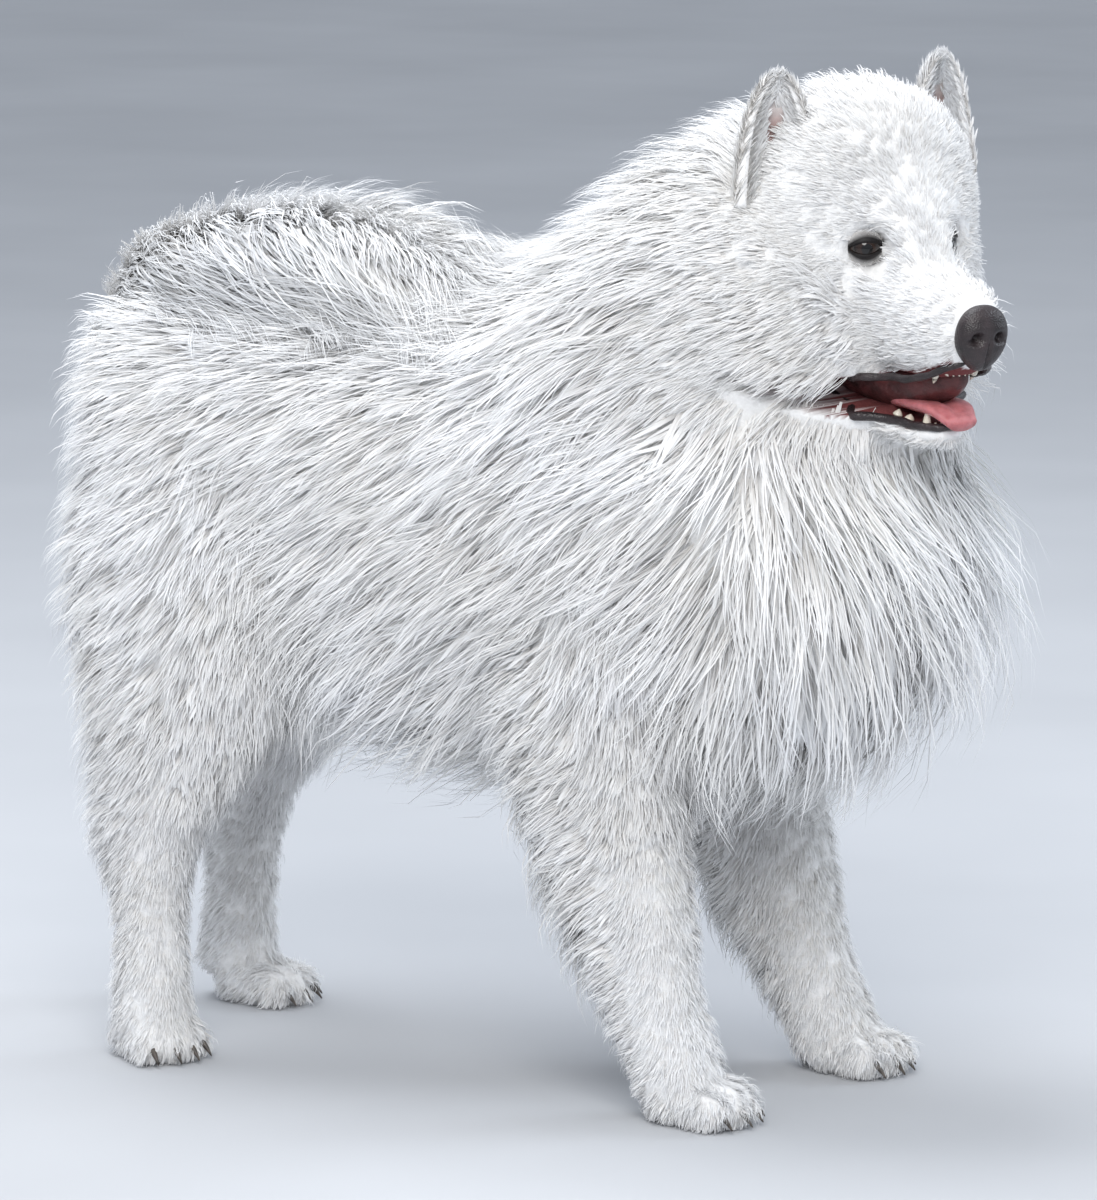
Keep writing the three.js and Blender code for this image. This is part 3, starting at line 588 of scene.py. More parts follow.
def mouth_shade_material():
    """Dark red wet flesh, darkened as painted shade, for the block that fills the mouth's shaded inside."""
    return two_tone("mouth_shade_block", 0.4, 0.4, (80.0, (0.030, 0.010, 0.010), (0.11, 0.028, 0.028)),
                    (220.0, 0.5, 0.002))


def enamel_material():
    """Teeth: warm ivory, a little darker in patches."""
    return two_tone("tooth_enamel", 0.22, 0.5, (200.0, (0.62, 0.55, 0.43), (0.80, 0.76, 0.66)),
                    Coat_Weight=0.3)


def claw_material():
    """Claws: horn brown with faint streaks."""
    return two_tone("claw_horn", 0.35, 0.45, (300.0, (0.035, 0.028, 0.024), (0.12, 0.10, 0.085)),
                    (900.0, 0.25, 0.0004))


def floor_material():
    """The studio's floor: pale cool grey."""
    return two_tone("pale_floor", 0.7, 0.2, (1.5, (0.50, 0.51, 0.53), (0.56, 0.57, 0.59)))


def ear_material():
    """Ear leather: white short hair outside, dusky pink inside."""
    made, tree, shader = material("ear_leather", 0.7, 0.25)
    outer = tones(tree, 380.0, (0.82, 0.81, 0.80), (0.92, 0.915, 0.91), 4.0)
    inner = tones(tree, 120.0, (0.17, 0.095, 0.085), (0.34, 0.20, 0.18))
    paint(tree, shader, blend(tree, attribute(tree, "inner"), outer, inner))
    bump(tree, shader, noise(tree, 600.0), 0.4, 0.001)
    return made


def eye_axes(side):
    """One eye's ways forward, across and up in the head's frame: it looks 0.42 radians to its side."""
    forward = unit(np.array([math.cos(0.42), side * math.sin(0.42), 0.06]))
    across = unit(np.cross([0, 0, 1.0], forward))
    return forward, across, np.cross(forward, across)


class BodySettings(bpy.types.PropertyGroup):
    voxel: bpy.props.FloatProperty(
        name="Skin grain", description="Size of the grid that the skin is drawn on", default=0.0039,
        unit="LENGTH")
    coverage: bpy.props.FloatProperty(
        name="Coat cover", description="How many hairs lie over each other on the long coat", default=20.0)
    hair_width: bpy.props.FloatProperty(
        name="Hair width", description="Width of a hair blade as a share of its usual one", default=1.0,
        subtype="FACTOR")
    seed: bpy.props.IntProperty(name="Seed", description="Start of every random draw", default=11)


class HeadSettings(bpy.types.PropertyGroup):
    eye_radius: bpy.props.FloatProperty(
        name="Eye radius", description="Radius of the eyeball", default=0.0115, unit="LENGTH")
    lid_half_length: bpy.props.FloatProperty(
        name="Lid opening", description="Half the length of the opening between the lids", default=0.0118,
        unit="LENGTH")
    ear_height: bpy.props.FloatProperty(
        name="Ear height", description="Height of the ear above its root", default=0.090, unit="LENGTH")


class StudioSettings(bpy.types.PropertyGroup):
    azimuth: bpy.props.FloatProperty(
        name="Camera azimuth", description="Angle of the camera round the dog", default=math.radians(28.0),
        subtype="ANGLE")
    elevation: bpy.props.FloatProperty(
        name="Camera elevation", description="Angle of the camera above the horizon",
        default=math.radians(9.4), subtype="ANGLE")
    distance: bpy.props.FloatProperty(
        name="Camera distance", description="From the camera to the middle of the dog", default=5.0,
        unit="LENGTH")
    lens: bpy.props.FloatProperty(name="Lens", description="Focal length in millimetres", default=217.5)


# The solids that the skin stands for
FLESH = [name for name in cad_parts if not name.startswith(("eye", "nose", "tongue", "ear"))]
SKIN = {}  # what the skin leaves for the coat and the lips: points, normals, markings and lip lines
SOCKET = 21  # millimetres round an eye in which the skin is drawn back
LIP_NEAR = 6  # how near the skin lies to a lip point that it carries
MOUTH_BACK, MOUTH_FRONT = -50, 62  # from where to where the cheek is drawn in between the lips
MOUTH_WIDTHS = ([-50, 0, 60], [46, 38, 26])  # the lips' half width by place along the head
DRAWN_IN = 0.45
RIM = 14.5  # where the dark rim round an eye ends, and the width of its fade
RIM_FADE = 2.5
FLOOR_GAP = 0.0005  # the skin, the hair and the claws stay this far over the floor
HAIR_GAP = 0.0006
CLAW_GAP = 0.0008


def lip_height(line, t):
    """How high a lip line lies over each place along the head."""
    rows = np.array(line, float)
    return np.interp(t, rows[:, 0], rows[:, 2])


class SAMOYED_OT_skin(bpy.types.Operator):
    """One closed skin through every form of the body and the paws"""

    bl_idname = "samoyed.skin"
    bl_label = "Skin"

    def execute(self, context):
        settings = context.scene.samoyed_body
        parts = []
        for form in FORMS.values():
            parts.append(form.surface(60, 48, form.reach))
        for paw in PAWS.values():
            parts += paw_parts(*paw)[0]
        rough = new_object("rough_skin", *joined(parts))
        remesh = rough.modifiers.new("remesh", "REMESH")
        remesh.mode = "VOXEL"
        remesh.voxel_size = settings.voxel
        view = context.evaluated_depsgraph_get()
        mesh = bpy.data.meshes.new_from_object(rough.evaluated_get(view))
        bpy.data.objects.remove(rough)
        co = vertex_arrays(mesh)[0]
        edges = np.empty(len(mesh.edges) * 2, np.int32)
        mesh.edges.foreach_get("vertices", edges)
        edges = edges.reshape(-1, 2)
        head = to_head(co)
        face = np.clip((head[:, 0] + 45) / 40, 0, 1) * (head[:, 2] > -140) * (np.abs(head[:, 1]) < 90)
        feet = np.clip((0.11 - co[:, 2]) / 0.05, 0, 1)
        detail = np.maximum(face, feet)
        co = relax(co, edges, 22, (0.55 * (1 - 0.93 * detail))[:, None])
        co = relax(co, edges, 3, 0.4)
        co = self.open_mouth(self.sockets(co))
        co[:, 2] = np.maximum(co[:, 2], FLOOR_GAP)
        mesh.vertices.foreach_set("co", co.astype(np.float32).ravel())
        mesh.update()
        mesh.name = "skin"
        piece = bpy.data.objects.new("skin", mesh)
        context.scene.collection.objects.link(piece)
        mesh.polygons.foreach_set("use_smooth", np.ones(len(mesh.polygons), bool))
        co, normal = vertex_arrays(mesh)
        mouth, rim = self.markings(co, normal)
        mark(piece, "mouth", mouth)
        mark(piece, "rim", rim)
        SKIN.update(co=co, normal=normal, mouth=mouth, rim=rim)
        dress(piece, skin_material(), FLESH)
        return {"FINISHED"}

    def sockets(self, co):
        """Round each eye the skin lies no further out than a bowl of 1 + 11 * (distance / 21)^2."""
        head = to_head(co)
        for side in (-1, 1):
            forward, _, _ = eye_axes(side)
            d = head - (EYE_PLACE[0], side * EYE_PLACE[1], 0)
            ahead = d @ forward
            away = np.linalg.norm(d - ahead[:, None] * forward, axis=1)
            limit = 1 + 11 * (away / SOCKET) ** 2
            push = np.where((away < SOCKET) & (ahead > -6), np.minimum(0, limit - ahead), 0)
            head = head + push[:, None] * forward
        return in_head(head)

    def open_mouth(self, co):
        """Lays the lips on the cheeks, then draws the cheek between them in to 0.45 of the lips' half width.

        A lip point's distance to the side is the greatest one of the skin within 6 mm of it, as it is
        seen from the side.
        """
        head = to_head(co)
        t, l, u = head.T
        SKIN["lips"] = []
        for line in (UPPER_LIP, LOWER_LIP):
            path = curve_through(line, 60)
            for side in (-1, 1):
                lip = path.copy()
                gap = (t[None] - path[:, :1]) ** 2 + (u[None] - path[:, 2:3]) ** 2
                out = np.where(gap < LIP_NEAR**2, side * l[None], -np.inf).max(1)
                seen = np.where(np.isfinite(out) & (out < 70), out - 1.0, path[:, 1])
                back = np.clip((40 - path[:, 0]) / 40, 0, 1)
                lip[:, 1] = path[:, 1] * (1 - back) + np.maximum(seen, path[:, 1]) * back
                lip[:, 1] = np.convolve(np.pad(lip[:, 1], 3, "edge"), np.ones(7) / 7, "valid")
                lip[:, 1] *= side
                SKIN["lips"].append(lip)
        upper, lower = lip_height(UPPER_LIP, t), lip_height(LOWER_LIP, t)
        inner = DRAWN_IN * np.interp(t, *MOUTH_WIDTHS)
        share = np.clip(np.minimum(upper - u, u - lower) / 3, 0, 1)
        share = share * (t > MOUTH_BACK) * (t < MOUTH_FRONT)
        reach = np.abs(l)
        head[:, 1] = np.sign(l) * (reach * (1 - share) + np.minimum(reach, inner) * share)
        return in_head(head)

    def markings(self, co, normal):
        """How far each point is mouth lining, or dark rim round an eye."""
        head = to_head(co)
        t, l, u = head.T
        rise = (normal @ HEAD_TURN)[:, 2]
        inside = (t > -50) & (t < 86) & (np.abs(l) < np.interp(t, [-50, 30, 86], [46, 31, 20]))
        upper, lower = lip_height(UPPER_LIP, t), lip_height(LOWER_LIP, t)
        mouth = inside & (u < upper + 5) & (u > lower - 3) & (np.abs(rise) > 0.25)
        mouth |= (t > -52) & (t < 86) & (np.abs(l) < 60) & (u < upper + 0.5) & (u > lower - 0.5)
        rim = np.zeros(len(co))
        for side in (-1, 1):
            d = np.linalg.norm(head - (EYE_PLACE[0] + 4, side * EYE_PLACE[1], 0), axis=1)
            rim = np.maximum(rim, np.clip((RIM - d) / RIM_FADE, 0, 1))
        return mouth.astype(float), rim


def lie_of(region, place):
    """The way the hair lies at places in millimetres, for the number of a region."""
    name = NAMES[region]
    x, y, z = place.T
    zero = np.zeros_like(x)
    if name == "head":
        t, l, u = ((place - EYE_LEVEL / MM) @ HEAD_TURN).T
        cheek = np.clip((-u + 10) / 50, 0, 1) * np.clip((10 - t) / 30, 0, 1)
        outward = np.clip(l / 30, -1, 1)
        way = np.stack([-1 + 0.2 * cheek, outward * (0.25 + 0.2 * cheek), -0.10 - 0.75 * cheek], -1)
        return way @ HEAD_TURN.T
    if name == "jaw":
        return np.stack([zero - 1, zero, zero - 0.35], -1) @ HEAD_TURN.T
    if name == "neck":
        front = np.clip((x - 215) / 70, 0, 1)
        body = np.stack([-0.62 + 0.55 * front, -0.004 * y * front, -0.80 - 0.2 * front], -1)
        t, l, u = ((place - EYE_LEVEL / MM) @ HEAD_TURN).T
        face = (np.clip((t + 150) / 80, 0, 1) * np.clip((u + 150) / 60, 0, 1))[:, None]
        swept = np.stack([zero - 0.85, np.clip(l / 60, -1, 1) * 0.45, zero - 0.6], -1) @ HEAD_TURN.T
        return unit(body) * (1 - face) + unit(swept) * face
    if name == "torso":
        front = np.clip((x - 215) / 60, 0, 1)
        top = np.clip((z - 480) / 50, 0, 1)
        fall = -0.70 + 0.38 * top - 0.3 * front
        return np.stack([-0.85 + 0.72 * front, -0.004 * y * front, fall], -1)
    if name == "tail":
        axis = FORMS["tail"].row(np.linspace(0, 1, 60))[:, :3]
        k = nearest(place, axis, 1)[0][:, 0]
        along = unit(np.gradient(axis, axis=0))[k]
        away = place - axis[k]
        side = np.stack([zero, np.tanh((away[:, 1] + 3) / 12), zero], -1)
        return 0.85 * along + 0.6 * side + np.array([-0.05, 0, -0.38])
    if name.startswith("foreleg"):
        axis = np.interp(z, [24, 130, 262, 390], [206, 180, 150, 118])
        back = np.clip((axis - x + 6) / 24, 0, 1)
        return np.stack([-0.12 - 0.75 * back, zero, -1 + 0.3 * back], -1)
    axis = np.interp(z, [24, 165, 225, 290, 430], [-216, -212, -192, -176, -185])
    back = np.clip((axis - x + 10) / 40, 0, 1)
    return np.stack([-0.2 - 0.5 * back, zero, zero - 0.9], -1)


GUIDE_STEPS = 7
GUIDE_NEAR = 11000  # how many of the skin's points a guide hair is led by
RISE = np.array([0.0, 0.30, 0.55, 0.74, 0.88, 0.96, 1.0])
STATIONS = np.array([0.0, 0.36, 0.7, 1.0])  # places along a long blade, and its widths there
WIDTHS = np.array([0.8, 1.0, 0.7])
SHORT_STATIONS = np.array([0.0, 0.5, 1.0])
SHORT_WIDTHS = np.array([0.85, 0.8])
SIDE_SOFT = 0.162  # beyond this distance from the middle the side hair is pressed closer
SIDE_GIVE = 0.022
PATCH = 0.003  # the size of a tuft's patch on the map
CHARTS = 4  # the map's tiles across


def form_samples():
    """Points all over the forms: place, region, t, a and the depth of coat over the skin there."""
    places, region, ts, angles, depth = [], [], [], [], []
    for k, form in enumerate(FORMS.values()):
        t, a = (v.ravel() for v in np.meshgrid(np.linspace(0, 1, 34), circle(28), indexing="ij"))
        low, high = form.point(t, a, form.reach), form.point(t, a, 1.0)
        places.append(low)
        region.append(np.full(len(t), k))
        ts.append(t)
        angles.append(a)
        depth.append(np.linalg.norm(high - low, axis=1))
    return [np.concatenate(v) for v in (places, region, ts, angles, depth)]


def guide_paths(rng, root, normal, region, depth, length):
    """Each guide hair walks over the skin along its lie and rises to its share of the coat's depth.

    At every step the nearest skin point gives the way out and the height over the skin, the lie is turned
    into the skin's plane, and the height is set to depth * rise(step).
    """
    near = rng.permutation(len(SKIN["co"]))[:GUIDE_NEAR]
    targets, outs = SKIN["co"][near], SKIN["normal"][near]
    step = (length / (GUIDE_STEPS - 1))[:, None]
    place, out, heading = root - normal * 0.002, normal, None
    paths, ways = [place], [normal]
    lean = rng.normal(0, 0.16, len(root))[:, None]
    for k in range(1, GUIDE_STEPS):
        lie = np.zeros_like(root)
        for r in range(len(NAMES)):
            here = region == r
            if here.any():
                lie[here] = lie_of(r, (place[here] - SHIFT) / MM)
        lie = unit(lie)
        lie = unit(lie - out * (lie * out).sum(1, keepdims=True))
        lie = unit(lie + lean * np.cross(out, lie))
        heading = lie if heading is None else unit(0.45 * heading + 0.55 * lie)
        place = place + step * heading
        found = nearest(place, targets, 1)[0][:, 0]
        out = unit(0.5 * out + 0.5 * outs[found])
        height = ((place - targets[found]) * outs[found]).sum(1)
        change = np.clip(RISE[k] * depth - height, -step[:, 0] * 0.8, step[:, 0] * 0.9)
        place = place + out * change[:, None]
        paths.append(place)
        ways.append(out)
    return np.stack(paths, 1), np.stack(ways, 1)


def blades(rng, guides, scale, short, clump):
    """Thin tapered blades round each guide.

    A blade's middle line is its guide's path read at s times its own length, plus an offset that shrinks
    to (1 - clump) at the tip and a slow wave; its two edges stand half a width off, across its direction.
    """
    paths, ways, length, spread, width, count = (
        guides[key] for key in ("paths", "ways", "length", "spread", "width", "count"))
    stations, widths = (SHORT_STATIONS, SHORT_WIDTHS) if short else (STATIONS, WIDTHS)
    g = np.repeat(np.arange(len(paths)), count)
    n = len(g)
    share = rng.uniform(0.68, 1.0, n)[:, None] * stations[None]
    at = share * (GUIDE_STEPS - 1)
    low = np.minimum(at.astype(int), GUIDE_STEPS - 2)
    part = (at - low)[..., None]
    middle = paths[g[:, None], low] * (1 - part) + paths[g[:, None], low + 1] * part
    out = unit(ways[g[:, None], low] * (1 - part) + ways[g[:, None], low + 1] * part)
    along = unit(np.gradient(middle, axis=1))
    side = unit(np.cross(out, along))
    angle = rng.uniform(0, 2 * math.pi, n)
    reach = np.sqrt(rng.uniform(0, 1, n)) * spread[g]
    s = stations[None, :, None]
    shrink = 1 - clump * s**1.15
    drift = (length[g] * rng.normal(0, 0.055, n))[:, None, None] * s**1.4
    wave = (length[g] * rng.normal(0, 0.022, n))[:, None, None] * np.sin(5.5 * s + angle[:, None, None]) * s
    middle = (middle + side * ((reach * np.cos(angle))[:, None, None] * shrink + wave + drift)
              + along[:, :1] * (reach * np.sin(angle))[:, None, None] * 1.6
              + out * ((length[g] * rng.normal(-0.015, 0.035, n))[:, None, None] * s))
    twist = rng.normal(0, 0.32, n)[:, None, None]
    flat = side * np.cos(twist) + out * np.sin(twist)
    half = (0.5 * scale * width[g] * rng.uniform(0.7, 1.3, n))[:, None, None]
    half = half * np.append(widths, 0)[None, :, None]
    left, right = (middle + flat * half)[:, :-1], (middle - flat * half)[:, :-1]
    verts = np.concatenate([np.stack([left, right], 2).reshape(n, -1, 3), middle[:, -1:]], 1)
    rows = len(widths)
    k = np.arange(rows - 1) * 2
    quads = np.stack([k, k + 2, k + 3, k + 1], -1)
    tip = np.array([[2 * rows - 2, 2 * rows, 2 * rows - 1]])
    first = (np.arange(n) * (2 * rows + 1))[:, None, None]
    across = np.append(np.tile([0.0, 1.0], rows), 0.5)
    down = np.append(np.repeat(stations[:-1], 2), 1.0)
    return (verts.reshape(-1, 3), (quads[None] + first).reshape(-1, 4), (tip[None] + first).reshape(-1, 3),
            g, across, down)


def coat_piece(name, rng, guides, settings, short, clump):
    """One joined piece of coat from guides, with a small patch of its map for every tuft."""
    verts, quads, tips, g, across, down = blades(rng, guides, settings.hair_width, short, clump)
    verts[:, 2] = np.maximum(verts[:, 2], HAIR_GAP)
    over = np.maximum(np.abs(verts[:, 1]) - SIDE_SOFT, 0)
    verts[:, 1] -= np.sign(verts[:, 1]) * (over - SIDE_GIVE * np.tanh(over / SIDE_GIVE))
    piece = new_object(name, verts, quads, tips)
    # the place along each blade, which the coat's material darkens toward the root as painted shade
    mark(piece, "tip", np.tile(down, len(g)))
    tone = np.clip(guides["tone"][g] + rng.normal(0, 0.12, len(g)), 0, 1)
    mark(piece, "tuft", np.repeat(tone, len(across)))
    patch = np.stack([across - 0.5, down - 0.5], -1) * PATCH
    place = (guides["uv"][g][:, None] + patch[None]).reshape(-1, 2)
    loops = np.empty(len(piece.data.loops), np.int32)
    piece.data.loops.foreach_get("vertex_index", loops)
    layer = piece.data.uv_layers.new(name="OFBake")
    layer.data.foreach_set("uv", place[loops].astype(np.float32).ravel())
    return piece


def straight_guides(rng, root, out, heading, length, rise, width, count, region, t, a):
    """Guides that lead off straight along a heading: root + heading * length * s + out * rise * sqrt(s)."""
    s = np.linspace(0, 1, GUIDE_STEPS)[None, :, None]
    heading = unit(heading + rng.normal(0, 0.12, heading.shape))
    paths = (root[:, None] - out[:, None] * 0.0008 + heading[:, None] * length[:, None, None] * s
             + out[:, None] * rise * np.sqrt(s))
    ones, tone = np.ones(len(root)), rng.uniform(0.2, 0.95, len(root))
    return dict(paths=paths, ways=np.broadcast_to(out[:, None], paths.shape), length=length,
                spread=ones * 0.0022, width=ones * width, count=count, tone=tone,
                uv=chart_place(region, t, a))


def chart_place(region, t, a):
    """Where a root lies on the unwrapped skin: one tile for each form, round it by along it."""
    column, line = region % CHARTS, region // CHARTS
    u = (column + 0.03 + 0.94 * (a / (2 * math.pi)) % 1) / CHARTS
    v = (line + 0.03 + 0.94 * t) / CHARTS
    return np.stack([u, v], -1)


POOL = 42000  # the skin's points that hair may grow from
LONG_BLADES = 205000  # the most blades of long coat, and of short hair
SHORT_BLADES = 115000
LONG_PIECE = 38000  # the most in one piece
SHORT_PIECE = 62000
TAIL_RISE = 0.030  # the tail's long hair lies this close to it
TAIL_SPLIT = 0.45  # where along the tail its two pieces meet
UNDER_SHARE = 0.32  # part of the tufts that lie low as a wide, soft undercoat
UNDER_WIDTH = 3.2  # how much wider its blades are, and those of the short undercoat
SHORT_UNDER_WIDTH = 2.0
SHORT_DEPTH = 0.0075  # coat less deep than this is short hair
SHORT_COVER = 7.0
TAIL_COVER = 2.4
LIP_CLEARANCE = 5.2  # millimetres round the lip lines without hair
EAR_ROOT = (-26, 76, 34)  # near an ear's root the coat is thin, out to this many millimetres
EAR_THIN = 62
MOST_SPREAD = 0.016  # the widest tuft at its root


def crosses_mouth(paths):
    """Which guides have a point between the lips, seen from the side of the head."""
    head = to_head(paths.reshape(-1, 3))
    t, l, u = head.T
    between = (u < lip_height(UPPER_LIP, t) + 0.5) & (u > lip_height(LOWER_LIP, t) - 3.5)
    inside = between & (t > -52) & (t < 90) & (np.abs(l) < 66)
    return inside.reshape(len(paths), -1).any(1)


class SAMOYED_OT_coat(bpy.types.Operator):
    """The coat: long hair in tufts over the body, short fine hair on the face and feet"""

    bl_idname = "samoyed.coat"
    bl_label = "Coat"

    def execute(self, context):
        settings = context.scene.samoyed_body
        rng = np.random.default_rng(settings.seed)
        co, normal = SKIN["co"], SKIN["normal"]
        places, region_of, t_of, a_of, depth_of = form_samples()
        pool = rng.permutation(len(co))[:POOL]
        found, gaps = nearest(co[pool], places, 4)
        order = np.argmin(gaps, 1)[:, None]
        first = np.take_along_axis(found, order, 1)[:, 0]
        weight = 1 / (gaps + 1e-6)
        depth = (depth_of[found] * weight).sum(1) / weight.sum(1)
        region, t, a = region_of[first], t_of[first], a_of[first]
        head = to_head(co[pool])
        along, _, high = head.T
        face = np.isin(region, FACE_NUMBERS)
        depth = np.where(co[pool][:, 2] < 0.045, 0.003, depth)
        crown = face * np.clip((high + 25) / 40, 0, 1)
        crown = crown * np.clip((along + 95) / 30, 0, 1)
        depth = depth * (1 - 0.74 * crown)
        cheek = (region == NECK_NUMBER) * np.clip((along + 135) / 70, 0, 1)
        cheek = cheek * np.clip((high + 165) / 50, 0, 1)
        depth = depth * (1 - 0.72 * cheek)
        ear_gap = [np.linalg.norm((head - np.multiply(EAR_ROOT, (1, side, 1))) / (1, 1, 1.5), axis=1)
                   for side in (-1, 1)]
        depth = depth * np.clip(np.minimum(*ear_gap) / EAR_THIN, 0.1, 1)
        depth = np.maximum(depth, 0.0016)
        length = 0.007 + 1.45 * depth + 0.003 * (depth < 0.004)
        tail = region == NAMES.index("tail")
        length = np.where(tail, length * 1.15, length)
        depth = np.where(tail, np.minimum(depth, TAIL_RISE), depth)
        width = 0.00042 + 0.0068 * length
        closed = (SKIN["mouth"][pool] > 0.5) | (SKIN["rim"][pool] > 0.45)
        lip = np.full(len(head), np.inf)
        for path in SKIN["lips"]:
            lip = np.minimum(lip, nearest(head, path, 1)[1][:, 0])
        closed = closed | (lip < LIP_CLEARANCE**2)
        nose = (np.linalg.norm(head - (95, 0, -30), axis=1) < 19) | (along > 92)
        open_skin = ~closed & ~(nose & face & (along > -20))
        short = depth < SHORT_DEPTH
        cover = np.where(short, SHORT_COVER, settings.coverage) * np.where(tail, TAIL_COVER, 1.0)
        wanted = cover / (length * width) * open_skin
        area = len(co) * settings.voxel**2 / len(pool)
        data = dict(root=co[pool], normal=normal[pool], region=region, depth=depth, length=length,
                    width=width, t=t, a=a, need=wanted * area, area=area)
        coat = coat_material()
        for chosen, most in ((short, SHORT_BLADES), (~short, LONG_BLADES)):
            data["need"][chosen] *= min(1, most / data["need"][chosen].sum())
        for is_short in (False, True):
            for name, members in self.groups(region, short == is_short, is_short, data):
                self.grow(context, name, members, data, is_short, rng, coat)
        return {"FINISHED"}

    def groups(self, region, chosen, short, data):
        """The pool points of each coat piece, by region and side."""
        right = data["root"][:, 1] < SHIFT[1]
        front = data["root"][:, 0] > 0.05
        torso, neck, head, jaw, tail = (region == k for k in range(5))
        leg = region > 4
        if short:
            yield "hair_face", chosen & (head | jaw | neck)
            yield "hair_legs_right", chosen & (leg | torso | tail) & right
            yield "hair_legs_left", chosen & (leg | torso | tail) & ~right
            return
        for side, here in (("right", right), ("left", ~right)):
            yield f"coat_flank_{side}", chosen & torso & here & ~front
            yield f"coat_chest_{side}", chosen & torso & here & front
            yield f"coat_ruff_{side}", chosen & neck & here
            yield f"coat_foreleg_{side}", chosen & (region == NAMES.index(f"foreleg_{side}"))
            yield f"coat_hind_leg_{side}", chosen & (region == NAMES.index(f"hind_leg_{side}"))
        yield "coat_tail_root", chosen & tail & (data["t"] < TAIL_SPLIT)
        yield "coat_tail_plume", chosen & tail & (data["t"] >= TAIL_SPLIT)
        yield "coat_head", chosen & (head | jaw)

    def grow(self, context, name, members, data, short, rng, coat):
        """Draws tufts over a piece's points, as often as they need hair, and makes them one piece."""
        count = 5 if short else 10
        need = np.where(members, data["need"], 0)
        total = int(min(need.sum(), SHORT_PIECE if short else LONG_PIECE))
        if total < 50:
            return
        picked = rng.choice(len(need), total // count, p=need / need.sum())
        root, normal = data["root"][picked], data["normal"][picked]
        jitter = rng.normal(0, 0.0016, root.shape)
        root = root + jitter - normal * (jitter * normal).sum(1, keepdims=True)
        under = rng.uniform(size=len(picked)) < UNDER_SHARE * (1.6 if "tail" in name else 1.0)
        length = data["length"][picked] * rng.uniform(0.8, 1.15, len(picked)) * np.where(under, 0.7, 1.0)
        height = np.where(rng.uniform(size=len(picked)) < 0.55, rng.uniform(0.85, 1.05, len(picked)),
                          rng.uniform(0.45, 0.85, len(picked)))
        height = np.where(under, rng.uniform(0.08, 0.45, len(picked)), height)
        depth = data["depth"][picked] * height
        paths, ways = guide_paths(rng, root, normal, data["region"][picked], depth, length)
        kept = ~crosses_mouth(paths)
        picked, under, length, paths, ways = (part[kept] for part in (picked, under, length, paths, ways))
        per_guide = need.sum() / total * count / data["need"][picked]
        spread = np.clip(1.25 * np.sqrt(per_guide * data["area"]), 0.001, MOST_SPREAD)
        wider = np.where(under, SHORT_UNDER_WIDTH if short else UNDER_WIDTH, 1.0)
        tone = rng.uniform(0.25, 1.0, len(picked))
        uv = chart_place(*(data[key][picked] for key in ("region", "t", "a")))
        uv = uv + rng.uniform(-PATCH / 2, PATCH / 2, (len(picked), 2))
        guides = dict(paths=paths, ways=ways, length=length, spread=spread, count=count, tone=tone, uv=uv,
                      width=data["width"][picked] * wider)
        piece = coat_piece(name, rng, guides, context.scene.samoyed_body, short, 0.2 if short else 0.12)
        dress(piece, coat)


# Each ear by side: where it stands in the head, and its leans to the middle, back and to the front
EAR_PLACES = {1: ((-63, 72.4, 21.4), 0.05, 0.15, 0.1), -1: ((-46, 79, 19), 0.12, 0.29, -0.5)}
EAR_HALF_WIDTH = 28
EAR_WALL = 8
EAR_CUP = 0.7  # the ear's depth as a share of its half width
EAR_WRAP = 1.45  # the angle to which the ear's wall runs round on each side
EAR_RINGS, EAR_AROUND = 28, 20
# The ear's hair by part: how many tufts, and their length
EAR_HAIR = (("back", 1500, 0.013), ("edge", 750, 0.020), ("inside", 700, 0.013))


